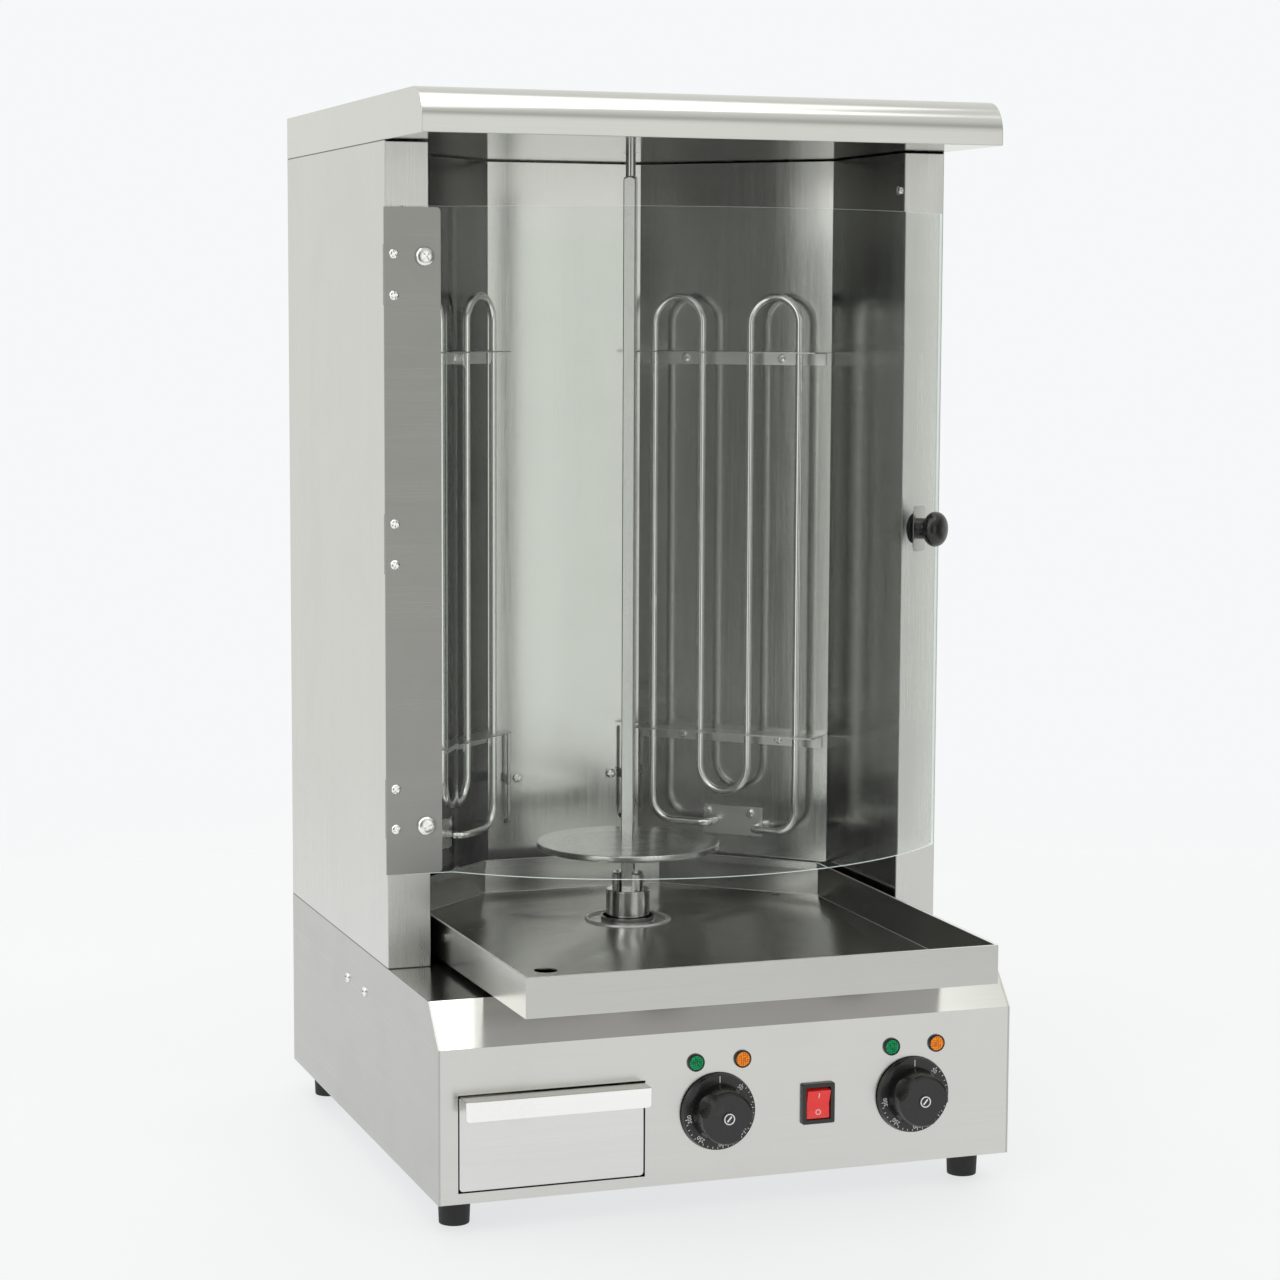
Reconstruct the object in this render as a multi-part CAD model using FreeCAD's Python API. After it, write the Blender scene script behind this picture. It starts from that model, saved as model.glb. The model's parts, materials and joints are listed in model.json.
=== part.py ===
import FreeCAD, Part
import math
import os

# Vertical-spit grill in millimetres.  Z is up and the floor is z = 0.
# The origin lies on the floor, midway between the sides and midway between the
# front of the drip tray and the mouth of the cable gland.

V = FreeCAD.Vector
UP = V(0, 0, 1)
TO_FRONT = V(0, -1, 0)
TO_RIGHT = V(1, 0, 0)

# Casing
body_width = 460.0
base_depth = 470.0
foot_height = 24.0
panel_height = 116.0
base_height = 147.0
chamfer_depth = 27.0
side_sheet = 1.5
sheet = 1.2
liner_sheet = 1.0

# Upper housing and roof
flange_setback = 143.0
flange_width = 34.0
housing_height = 632.0
roof_height = 34.0
roof_setback = 37.0
roof_nose_radius = 25.0
ceiling_gap = 1.2
ceiling_screw_wall_gap = 12.0
ceiling_screw_front = 62.0
ceiling_screw_back = 207.0
ceiling_screw_head_radius = 3.4
wall_screw_setback = 9.5
wall_screw_below_ceiling = 30.4
wall_screw_above_deck = 20.0

# Cooking chamber
chamber_side_depth = 146.0
back_panel_width = 138.0
spit_behind_flange = 100.5

# Feet
foot_top_radius = 12.5
foot_bottom_radius = 11.5
foot_inset_x = 22.0
foot_inset_y = 36.0

# Door
door_glass_thickness = 4.0
glass_above_deck = 74.0
glass_height = 509.0
glass_bulge_depth = 90.0
glass_right_margin = 6.0
glass_bend_radius = 10.0
glass_bend_gap = 4.7
glass_tab_left_margin = 13.0
glass_flange_gap = 1.0
hinge_plate_width = 44.0
hinge_plate_sheet = 1.5
hinge_plate_overhang = 2.4
hinge_plate_shortfall = 0.8
hinge_pitch = 203.0
hinge_length = 46.0
hinge_leaf_width = 11.0
hinge_leaf_sheet = 0.8
hinge_knuckle_radius = 2.2
hinge_pin_radius = 1.1
hinge_screw_spacing = 31.0
hinge_screw_inset = 7.5
glass_screw_inset = 12.5
glass_screw_spacing = 433.6
glass_screw_head_radius = 7.5
door_knob_arc_length = 37.5
door_knob_cap_radius = 14.0
door_knob_cap_half_thickness = 7.8
door_knob_neck_radius = 8.4
door_knob_stand_off = 14.7
knob_plate_width = 20.0
knob_plate_height = 36.0
knob_plate_corner = 4.0
knob_plate_sheet = 0.8
knob_washer_radius = 12.0
knob_washer_thickness = 2.5

# Spit drive
hub_radius = 18.0
hub_claw_height = 14.0
hub_claw_radius = 13.0
hub_above_deck = 46.0
hub_below_deck = 17.0
hub_hole_clearance = 2.5
spit_width = 10.0
spit_pin_radius = 4.0
spit_shoulder_gap = 22.2
spit_slot_clearance = 0.4
spit_grip_depth = 17.0
spit_turn = -30.0
plate_radius = 75.0
plate_thickness = 5.0
plate_above_hub = 20.5
plate_pin_radius = 2.0
bearing_flange_radius = 10.0
bearing_flange_thickness = 1.5
bearing_sleeve_radius = 6.5
bearing_sleeve_height = 9.0
running_clearance = 0.05
shaft_radius = 5.0
gearbox_width = 62.0
gearbox_height = 26.0
motor_radius = 28.0
motor_length = 46.0
bracket_depth = 80.0
bracket_flange_height = 30.0
bracket_below_deck = 48.0
bracket_screw_spacing = 54.9

# Drip tray
tray_overhang = 70.0
tray_front_half = 185.0
tray_side_clearance = 6.0
tray_back_half = 80.0
tray_slant_clearance = 3.0
tray_back_gap = 26.0
tray_sheet = 1.0
tray_height = 29.5
tray_stud_height = 5.0
tray_stud_radius = 8.0
tray_stud_inset = 35.0
tray_stud_setback = 60.0
tray_stud_behind_spit = 85.0
tray_hem_thickness = 2.2
tray_hem_height = 6.0
tray_collar_radius = 21.0
tray_collar_height = 5.0
tray_bead_radius = 33.5
tray_bead_width = 4.0
tray_bead_height = 2.0
drain_inset_x = 106.0
drain_setback = 76.0
drain_radius = 9.0
hang_hole_inset = 34.0
hang_hole_behind_corner = 15.0
hang_hole_radius = 4.0

# Heaters
heater_tube_radius = 3.2
heater_leg_pitch = 45.0
heater_stand_off = 17.0
heater_top_above_deck = 520.7
heater_loop_above_deck = 89.5
heater_end_above_deck = 64.0
heater_outer_end_drop = 3.0
heater_end_radius = 20.0
heater_turn_in_radius = 9.0
heater_end_inner = -14.0
heater_end_outer = 26.0
heater_tail = 14.0
heater_bracket_length = 170.0
heater_bracket_depth = 25.0
heater_bracket_leg = 11.0
heater_bracket_upper_height = 471.0
heater_bracket_lower_height = 144.5
heater_bracket_screw_spacing = 90.0
terminal_plate_width = 55.0
terminal_plate_offset = 2.3
terminal_screw_offset = -1.3
terminal_plate_height = 25.0
terminal_screw_spacing = 40.0
screw_head_radius = 4.1
screw_head_height = 2.4
screw_shank_radius = 1.9
screw_shank_length = 6.0
hole_clearance = 0.2

# Thermostat bulbs
bulb_half_pitch = 53.0
bulb_radius = 1.5
bulb_length = 72.0
bulb_stand_off = 8.0
bulb_bottom_above_deck = 70.0
bulb_screw_half_pitch = 43.0
bulb_screw_above_deck = 101.0
capillary_radius = 1.0
clip_sheet = 0.8
clip_height = 8.0

# Front controls, measured on the front panel from its middle and from the base's underside
dial_height = 53.5
dial_left_x = -12.5
dial_right_x = 147.5
dial_skirt_radius = 29.6
dial_skirt_thickness = 4.0
dial_skirt_gap = 1.5
dial_grip_base_radius = 22.0
dial_grip_top_radius = 20.0
dial_grip_height = 20.0
dial_finger_width = 29.0
dial_scoop_radius = 26.0
dial_cap_radius = 5.2
dial_bar_angle = -35.0
spindle_radius = 3.0
bush_radius = 5.0
thermostat_width = 40.0
thermostat_height = 34.0
thermostat_depth = 30.0
lamp_height = 92.0
lamp_green_offset = -17.5
lamp_amber_offset = 20.0
lamp_bezel_radius = 6.8
lamp_bezel_height = 2.6
lamp_body_radius = 5.0
lamp_body_length = 24.0
switch_x = 69.0
switch_height = 53.0
switch_width = 26.6
switch_tall = 31.4
switch_bezel = 2.4
switch_rim = 3.2
switch_body_depth = 22.0
rocker_thickness = 9.0
rocker_tilt = 7.0
rocker_clearance = 0.6

# Drawer
drawer_left_margin = 16.0
drawer_width = 143.0
drawer_bottom = 9.0
drawer_height = 71.4
drawer_slot_clearance = 1.0
drawer_length = 240.0
drawer_box_inset = 3.5
drawer_box_height = 56.0
drawer_sheet = 1.0
drawer_lift = 2.4
handle_depth = 18.0
handle_lip = 15.0
handle_corner_radius = 3.0
runner_lip = 10.0
runner_height = 24.0
runner_gap = 0.5

# Vent slots in the base's back
vent_slots = 8
vent_middle_inset = 160.0
vent_bottom_height = 30.0
vent_slot_spacing = 10.8
vent_slot_length = 70.0
vent_slot_width = 3.0

# Mains entry
gland_reach = 12.0
gland_inset_x = 80.0
gland_height = 45.0
gland_thread_radius = 8.0
gland_nut_radius = 11.0
gland_bore_radius = 4.0
gland_inner_length = 12.0
block_width = 60.0
block_depth = 22.0
block_height = 18.0
block_setback = 45.0

# Levels and planes that follow from the sizes above
half_width = body_width / 2
overall_depth = tray_overhang + base_depth + gland_reach
front_y = tray_overhang - overall_depth / 2
back_y = front_y + base_depth
base_z = foot_height
panel_top_z = base_z + panel_height
deck_z = base_z + base_height
flange_y = front_y + flange_setback
roof_z = deck_z + housing_height
roof_top_z = roof_z + roof_height
roof_front_y = front_y + roof_setback
chamber_half = half_width - flange_width
corner_y = flange_y + chamber_side_depth
back_panel_half = back_panel_width / 2
heater_run = chamber_half - back_panel_half
chamber_back_y = corner_y + heater_run
heater_panel_length = heater_run * math.sqrt(2)
spit_y = flange_y + spit_behind_flange
inner_half = half_width - side_sheet


def box(x0, y0, z0, x1, y1, z1):
    """A box between two opposite corners."""
    return Part.makeBox(x1 - x0, y1 - y0, z1 - z0, V(x0, y0, z0))


def rod(radius, start, direction, length):
    """A round bar from a start point along a direction."""
    return Part.makeCylinder(radius, length, start, direction)


def plan_prism(points, z0, z1):
    """A prism that stands on z0 with the given outline in plan."""
    corners = [V(x, y, z0) for x, y in points]
    outline = Part.makePolygon(corners + corners[:1])
    return Part.Face(outline).extrude(V(0, 0, z1 - z0))


def side_prism(points, x0, x1):
    """A prism along X with the given outline in Y and Z."""
    corners = [V(x0, y, z) for y, z in points]
    outline = Part.makePolygon(corners + corners[:1])
    return Part.Face(outline).extrude(V(x1 - x0, 0, 0))


def joined(shapes):
    """One solid from pieces that touch or overlap."""
    whole = shapes[0]
    for piece in shapes[1:]:
        whole = whole.fuse(piece)
    return whole.removeSplitter()


def drilled(shape, tools):
    """A shape with every tool cut from it."""
    for tool in tools:
        shape = shape.cut(tool)
    return shape


def mirrored(shape):
    """The same piece on the other side of the middle plane."""
    return shape.mirror(V(0, 0, 0), TO_RIGHT)


def pan_screw(head_point, outward, head_radius, head_height, shank_radius, shank_length):
    """A domed screw: its head stands outward of the point, its shank goes inward."""
    head = Part.makeCylinder(head_radius, head_height, head_point, outward)
    rim = [edge for edge in head.Edges if edge.Closed and same_point(edge, head_point, outward, head_height)]
    head = head.makeFillet(head_height * 0.55, rim)
    shank = Part.makeCylinder(shank_radius, shank_length, head_point, outward * -1)
    return joined([head, shank])


def same_point(edge, head_point, outward, head_height):
    """True for the outer rim of a screw's head."""
    return (edge.CenterOfMass - (head_point + outward * head_height)).Length < 0.01


def casing_screw(point, outward):
    """The pan-head screw used all over the casing."""
    return pan_screw(point, outward, screw_head_radius, screw_head_height, screw_shank_radius,
                     screw_shank_length)


def screw_hole(point, outward):
    """The clearance hole of a casing screw."""
    reach = screw_shank_length + screw_head_height
    radius = screw_shank_radius + hole_clearance
    return Part.makeCylinder(radius, 2 * reach, point + outward * reach, outward * -1)


# Where screws sit, shared by the screws and by the holes they pass through
def side_screw_points():
    """Two screws on each side of the base, which hold the motor bracket's flanges."""
    z = deck_z - bracket_below_deck + bracket_flange_height / 2
    points = []
    for side in (-1, 1):
        for step in (-1, 1):
            point = V(side * half_width, spit_y + step * bracket_screw_spacing / 2, z)
            points.append((point, V(side, 0, 0)))
    return points


def ceiling_screw_points():
    """Four flush screws in the ceiling, close to the chamber's walls."""
    points = []
    for behind in (ceiling_screw_front, ceiling_screw_back):
        y = flange_y + behind
        past_corner = max(0.0, y - corner_y)
        x = chamber_half - past_corner - ceiling_screw_wall_gap
        for side in (-1, 1):
            points.append(V(side * x, y, roof_z))
    return points


# A frame of reference on each angled heater panel
def heater_frame(side):
    """Start, direction along the panel towards the door, and normal into the chamber."""
    slant = math.sqrt(0.5)
    start = V(side * back_panel_half, chamber_back_y, 0)
    along = V(side * slant, -slant, 0)
    inward = V(-side * slant, -slant, 0)
    return start, along, inward


def on_heater(side, along_panel, off_panel, z):
    """A point given by its distance along and off a heater panel."""
    start, along, inward = heater_frame(side)
    return start + along * along_panel + inward * off_panel + V(0, 0, z)


def heater_plate(side, s0, s1, off0, off1, z0, z1):
    """A block whose long side follows a heater panel."""
    points = [on_heater(side, s, off, 0) for s, off in ((s0, off0), (s1, off0), (s1, off1), (s0, off1))]
    return plan_prism([(p.x, p.y) for p in points], z0, z1)


def heater_screw_points():
    """Screws of both brackets and of the terminal plate on each heater panel."""
    middle = heater_panel_length / 2
    terminal_z = deck_z + heater_end_above_deck + terminal_plate_height / 3
    points = []
    for side in (-1, 1):
        inward = heater_frame(side)[2]
        for level in (heater_bracket_upper_height, heater_bracket_lower_height):
            z = deck_z + level - heater_bracket_leg / 2
            for step in (-1, 1):
                s = middle + step * heater_bracket_screw_spacing / 2
                points.append((on_heater(side, s, sheet, z), inward))
        for step in (-1, 1):
            s = middle + terminal_screw_offset + step * terminal_screw_spacing / 2
            points.append((on_heater(side, s, sheet, terminal_z), inward))
    return points


def wall_screw_points():
    """Two screws that hold each chamber side behind the door flange."""
    y = flange_y + wall_screw_setback
    points = []
    for side in (-1, 1):
        for z in (deck_z + wall_screw_above_deck, roof_z - wall_screw_below_ceiling):
            points.append((V(side * chamber_half, y, z), V(-side, 0, 0)))
    return points


def bulb_screw_points():
    """One screw beside each thermostat bulb, on the back panel."""
    z = deck_z + bulb_screw_above_deck
    return [(V(side * bulb_screw_half_pitch, chamber_back_y - clip_sheet, z), TO_FRONT) for side in (-1, 1)]


# Base
def base_side(side):
    """One flat side of the base, cut to the slope of the top cover."""
    outline = [(front_y, base_z), (back_y, base_z), (back_y, deck_z),
               (front_y + chamfer_depth, deck_z), (front_y, panel_top_z)]
    plate = side_prism(outline, side * inner_half, side * half_width)
    return drilled(plate, [screw_hole(point, outward) for point, outward in side_screw_points()])


def base_floor():
    """The bottom plate between the sides, with a hole over each foot."""
    plate = box(-inner_half, front_y + sheet, base_z, inner_half, back_y - sheet, base_z + side_sheet)
    holes = [rod(screw_shank_radius + hole_clearance, V(x, y, 0), UP, deck_z) for x, y in foot_points()]
    return drilled(plate, holes)


def foot_points():
    """Plan positions of the four feet."""
    xs = (foot_inset_x - half_width, half_width - foot_inset_x)
    ys = (front_y + foot_inset_y, back_y - foot_inset_y)
    return [(x, y) for x in xs for y in ys]


def rubber_feet():
    """Four tapered rubber feet, each with a recess for its screw's head."""
    recess = screw_head_radius + 1.0
    feet = []
    for x, y in foot_points():
        foot = Part.makeCone(foot_bottom_radius, foot_top_radius, foot_height, V(x, y, 0))
        foot = foot.cut(rod(recess, V(x, y, 0), UP, foot_height / 2))
        feet.append(foot.cut(rod(screw_shank_radius + running_clearance, V(x, y, 0), UP, foot_height)))
    return Part.makeCompound(feet)


def foot_screws():
    """Screws that pass up through the feet into the bottom plate."""
    length = foot_height / 2 + side_sheet + 3.0
    screws = []
    for x, y in foot_points():
        start = V(x, y, foot_height / 2)
        screws.append(pan_screw(start, UP * -1, screw_head_radius, screw_head_height, screw_shank_radius,
                                length))
    return Part.makeCompound(screws)


def base_top_cover():
    """One bent sheet: the sloping front and the flat deck under the tray."""
    run = chamfer_depth
    rise = deck_z - panel_top_z
    slope = math.hypot(run, rise)
    drop = sheet * slope / run
    bend = sheet * (slope - run) / rise
    outline = [(front_y, panel_top_z), (front_y + run, deck_z), (back_y - sheet, deck_z),
               (back_y - sheet, deck_z - sheet), (front_y + run + bend, deck_z - sheet),
               (front_y + sheet, panel_top_z + sheet * rise / run - drop),
               (front_y + sheet, panel_top_z), ]
    cover = side_prism(outline, -inner_half, inner_half)
    hub_hole = rod(hub_radius + hub_hole_clearance, V(0, spit_y, 0), UP, roof_z)
    drain_hole = rod(drain_radius + 3.0, V(drain_inset_x - half_width, front_y + drain_setback, 0), UP,
                     roof_z)
    return drilled(cover, [hub_hole, drain_hole])


def control_points():
    """Plan places of the two dials on the front panel."""
    return (dial_left_x, dial_right_x)


def drawer_edges():
    """Left, right, bottom and top of the drawer's front."""
    left = drawer_left_margin - half_width
    bottom = base_z + drawer_bottom
    return left, left + drawer_width, bottom, bottom + drawer_height


def front_panel():
    """The control panel, with openings for the drawer, dials, lamps and switch."""
    panel = box(-inner_half, front_y, base_z, inner_half, front_y + sheet, panel_top_z)
    left, right, bottom, top = drawer_edges()
    gap = drawer_slot_clearance
    y0 = front_y - 1
    y1 = front_y + sheet + 1
    tools = [box(left - gap, y0, bottom - gap, right + gap, y1, top + gap)]
    for x in control_points():
        tools.append(rod(bush_radius + hole_clearance, V(x, y1, base_z + dial_height), TO_FRONT, y1 - y0))
        for offset in (lamp_green_offset, lamp_amber_offset):
            at = V(x + offset, y1, base_z + lamp_height)
            tools.append(rod(lamp_body_radius + hole_clearance, at, TO_FRONT, y1 - y0))
    half = switch_width / 2 - switch_bezel + hole_clearance
    tall = switch_tall / 2 - switch_bezel + hole_clearance
    z = base_z + switch_height
    tools.append(box(switch_x - half, y0, z - tall, switch_x + half, y1, z + tall))
    return drilled(panel, tools)


def base_back_panel():
    """The rear plate of the base, with vent slots and the gland's hole."""
    plate = box(-inner_half, back_y - sheet, base_z, inner_half, back_y, deck_z)
    middle = vent_middle_inset - half_width
    tools = []
    for row in range(vent_slots):
        z = base_z + vent_bottom_height + row * vent_slot_spacing
        tools.append(box(middle - vent_slot_length / 2, back_y - 2 * sheet, z,
                         middle + vent_slot_length / 2, back_y + sheet, z + vent_slot_width))
    gland = V(gland_x(), back_y + sheet, base_z + gland_height)
    tools.append(rod(gland_thread_radius + hole_clearance, gland, TO_FRONT, 3 * sheet))
    return drilled(plate, tools)


# Spit drive
def motor_bracket():
    """A bridge between the base's sides with an upturned flange at each end."""
    z = deck_z - bracket_below_deck
    y0 = spit_y - bracket_depth / 2
    y1 = spit_y + bracket_depth / 2
    parts = [box(-inner_half, y0, z, inner_half, y1, z + side_sheet)]
    for side in (-1, 1):
        x = side * inner_half
        inner = x - side * side_sheet
        parts.append(box(min(x, inner), y0, z, max(x, inner), y1, z + bracket_flange_height))
    bridge = joined(parts)
    tools = [screw_hole(point, outward) for point, outward in side_screw_points()]
    tools.append(rod(shaft_radius + 4.0, V(0, spit_y, 0), UP, deck_z))
    return drilled(bridge, tools)


def gear_motor():
    """A geared motor hung under the bracket, with its gearbox on top."""
    top = deck_z - bracket_below_deck
    half = gearbox_width / 2
    gearbox = box(-half, spit_y - half, top - gearbox_height, half, spit_y + half, top)
    upright = [edge for edge in gearbox.Edges if edge.BoundBox.ZLength > gearbox_height / 2]
    gearbox = gearbox.makeFillet(6.0, upright)
    motor = rod(motor_radius, V(0, spit_y, top - gearbox_height), UP * -1, motor_length)
    motor = joined([gearbox, motor])
    bore = rod(shaft_radius + running_clearance, V(0, spit_y, top), UP * -1, gearbox_height * 0.7)
    return motor.cut(bore)


def motor_shaft():
    """The output shaft, from the gearbox up into the hub."""
    bottom = deck_z - bracket_below_deck - gearbox_height * 0.6
    return rod(shaft_radius, V(0, spit_y, bottom), UP, deck_z + hub_socket_floor() - 3.0 - bottom)


def hub_socket_floor():
    """Height above the deck of the floor of the hub's square socket."""
    return hub_above_deck - spit_grip_depth - 0.5


def spit_turned(shape):
    """A piece of the spit drive at its rest turn about the spit's axis."""
    shape.rotate(V(0, spit_y, 0), UP, spit_turn)
    return shape


def drive_hub():
    """The claw hub: a bored cylinder whose slotted top grips the square spit."""
    bottom = deck_z - hub_below_deck
    top = deck_z + hub_above_deck
    step = top - hub_claw_height
    half = spit_width / 2 + spit_slot_clearance
    body = rod(hub_radius, V(0, spit_y, bottom), UP, step - bottom)
    body = body.makeChamfer(0.8,
                            [edge for edge in body.Edges if edge.Closed and edge.CenterOfMass.z > step - 1])
    claws = rod(hub_claw_radius, V(0, spit_y, bottom), UP, top - bottom)
    claws = claws.makeChamfer(1.2,
                              [edge for edge in claws.Edges if edge.Closed and edge.CenterOfMass.z > top - 1])
    slot = box(-half, spit_y - 2 * hub_radius, step, half, spit_y + 2 * hub_radius, top + 1)
    socket = box(-half, spit_y - half, deck_z + hub_socket_floor(), half, spit_y + half, top + 1)
    bore_top = deck_z + hub_socket_floor() - 2.5
    bore = rod(shaft_radius + running_clearance, V(0, spit_y, bottom), UP, bore_top - bottom)
    return spit_turned(drilled(joined([body, claws]), [slot, socket, bore]))


def spit():
    """A square bar whose top is turned down to a round pin for the ceiling bearing."""
    half = spit_width / 2
    bottom = deck_z + hub_above_deck - spit_grip_depth
    shoulder = roof_z - spit_shoulder_gap
    pin_top = roof_z + bearing_sleeve_height + 1.0
    bar = box(-half, spit_y - half, bottom, half, spit_y + half, shoulder)
    upright = [edge for edge in bar.Edges if edge.BoundBox.ZLength > 1]
    bar = bar.makeChamfer(0.7, upright)
    corner = half * math.sqrt(2)
    cone = Part.makeCone(corner, spit_pin_radius, corner - spit_pin_radius, V(0, spit_y, shoulder))
    cone = cone.common(box(-half, spit_y - half, shoulder, half, spit_y + half, roof_z))
    pin = rod(spit_pin_radius, V(0, spit_y, shoulder), UP, pin_top - shoulder)
    whole = joined([bar, cone, pin])
    cross = rod(plate_pin_radius + running_clearance, V(-hub_radius, spit_y, plate_pin_z()), TO_RIGHT,
                2 * hub_radius)
    return spit_turned(whole.cut(cross))


def plate_bottom_z():
    """Underside of the meat plate."""
    return deck_z + hub_above_deck + plate_above_hub


def plate_pin_z():
    """Axis of the cross pin that carries the meat plate."""
    return plate_bottom_z() - plate_pin_radius


def meat_plate():
    """The round plate under the meat, with a square hole for the bar."""
    z = plate_bottom_z()
    disc = rod(plate_radius, V(0, spit_y, z), UP, plate_thickness)
    disc = disc.makeFillet(1.0, [edge for edge in disc.Edges if edge.Closed])
    half = spit_width / 2 + 0.1
    hole = box(-half, spit_y - half, z - 1, half, spit_y + half, z + plate_thickness + 1)
    return spit_turned(disc.cut(hole))


def plate_pin():
    """A cross pin through the bar, just under the plate."""
    length = 2 * (hub_radius - 3.0)
    return spit_turned(rod(plate_pin_radius, V(-length / 2, spit_y, plate_pin_z()), TO_RIGHT, length))


def spit_bearing():
    """The flanged bush that lies on the ceiling plate and steadies the spit's pin."""
    flange = rod(bearing_flange_radius, V(0, spit_y, roof_z + sheet), UP, bearing_flange_thickness)
    sleeve = rod(bearing_sleeve_radius, V(0, spit_y, roof_z), UP, bearing_sleeve_height)
    bore = rod(spit_pin_radius + running_clearance, V(0, spit_y, deck_z), UP, roof_top_z - deck_z)
    return joined([flange, sleeve]).cut(bore)


# Drip tray
def tray_block(inset, z0, z1):
    """A block with the tray's outline in plan, drawn in by the given amount."""
    side_half = chamber_half - tray_side_clearance
    side_back_y = corner_y + tray_side_clearance - tray_slant_clearance * math.sqrt(2)
    back_edge_y = chamber_back_y - tray_back_gap
    front_edge_y = front_y - tray_overhang
    right = [(tray_front_half, front_edge_y), (side_half, side_back_y), (tray_back_half, back_edge_y)]
    left = [(-x, y) for x, y in reversed(right)]
    corners = [V(x, y, z0) for x, y in right + left]
    outline = Part.Face(Part.makePolygon(corners + corners[:1]))
    if inset > 0:
        outline = outline.makeOffset2D(-inset, 2)
    return outline.extrude(V(0, 0, z1 - z0))


def drip_tray():
    """A welded tray: floor, walls with folded hems, collar round the hub, studs below."""
    floor_z = deck_z + tray_stud_height
    top_z = floor_z + tray_height
    shell = tray_block(0, floor_z, top_z).cut(tray_block(tray_sheet, floor_z + tray_sheet, top_z + 1))
    hem = tray_block(0, top_z - tray_hem_height, top_z)
    hem = hem.cut(tray_block(tray_hem_thickness, top_z - tray_hem_height - 1, top_z + 1))
    centre = V(0, spit_y, floor_z)
    collar = rod(tray_collar_radius + tray_sheet, centre, UP, tray_collar_height)
    bead = Part.makeTorus(tray_bead_radius, tray_bead_width / 2, V(0, spit_y, floor_z + tray_sheet))
    keep = rod(tray_bead_radius + tray_bead_width, V(0, spit_y, floor_z + tray_sheet / 2), UP,
               tray_bead_height + 1)
    studs = []
    for side in (-1, 1):
        front_stud = V(side * (tray_front_half - tray_stud_inset), front_y + tray_stud_setback, deck_z)
        back_stud = V(side * (tray_back_half - tray_stud_radius), spit_y + tray_stud_behind_spit, deck_z)
        for spot in (front_stud, back_stud):
            studs.append(Part.makeCone(tray_stud_radius * 0.7, tray_stud_radius, tray_stud_height, spot))
    tray = joined([shell, hem, collar, bead.common(keep)] + studs)
    hub_hole = rod(tray_collar_radius, V(0, spit_y, deck_z), UP, tray_height)
    drain = rod(drain_radius, V(drain_inset_x - half_width, front_y + drain_setback, deck_z), UP, tray_height)
    hang_x = chamber_half - tray_side_clearance - hang_hole_inset
    hang_hole = rod(hang_hole_radius, V(hang_x, corner_y + hang_hole_behind_corner, deck_z), UP, tray_height)
    return drilled(tray, [hub_hole, drain, hang_hole])


# Drawer
def drawer_front():
    """One bent sheet: the flat front, and its top edge folded forward and down as the handle."""
    left, right, bottom, top = drawer_edges()
    plate = box(left, front_y, bottom, right, front_y + sheet, top)
    plate = plate.makeFillet(handle_corner_radius, corner_edges(plate, bottom))
    shelf = box(left, front_y - handle_depth, top - sheet, right, front_y + sheet, top)
    lip = box(left, front_y - handle_depth, top - handle_lip, right, front_y - handle_depth + sheet, top)
    lip = lip.makeFillet(handle_corner_radius, corner_edges(lip, top - handle_lip))
    return joined([plate, shelf, lip])


def corner_edges(plate, z):
    """The two short edges across a thin upright plate at its bottom corners."""
    return [edge for edge in plate.Edges
            if edge.BoundBox.YLength > sheet / 2 and edge.BoundBox.XLength < 0.01
                 and abs(edge.CenterOfMass.z - z) < 0.01]


def drawer_box_edges():
    """Outer sides and levels of the sheet box behind the drawer's front."""
    left, right, bottom, top = drawer_edges()
    low = bottom + drawer_lift
    return left + drawer_box_inset, right - drawer_box_inset, low, low + drawer_box_height


def drawer_box():
    """The open-topped box that catches the fat."""
    left, right, low, high = drawer_box_edges()
    y0 = front_y + sheet
    y1 = y0 + drawer_length
    t = drawer_sheet
    shell = box(left, y0, low, right, y1, high)
    return shell.cut(box(left + t, y0 + t, low + t, right - t, y1 - t, high + 1))


def drawer_runners():
    """Two angle rails on the bottom plate that carry the drawer's lower edges."""
    left, right, low, high = drawer_box_edges()
    y0 = front_y + 3 * sheet
    y1 = y0 + drawer_length
    floor = base_z + side_sheet
    lip_z = low - runner_gap
    rails = []
    for edge, way in ((left, 1), (right, -1)):
        outer = edge - way * (runner_gap + sheet)
        web = box(min(outer, outer + way * sheet), y0, floor, max(outer, outer + way * sheet), y1,
                  floor + runner_height)
        lip = box(min(outer, outer + way * runner_lip), y0, lip_z - sheet,
                  max(outer, outer + way * runner_lip), y1, lip_z)
        rails.append(joined([web, lip]))
    return Part.makeCompound(rails)


# Front controls
def dial_plane_y():
    """Back face of a dial's skirt."""
    return front_y - dial_skirt_gap


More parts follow.
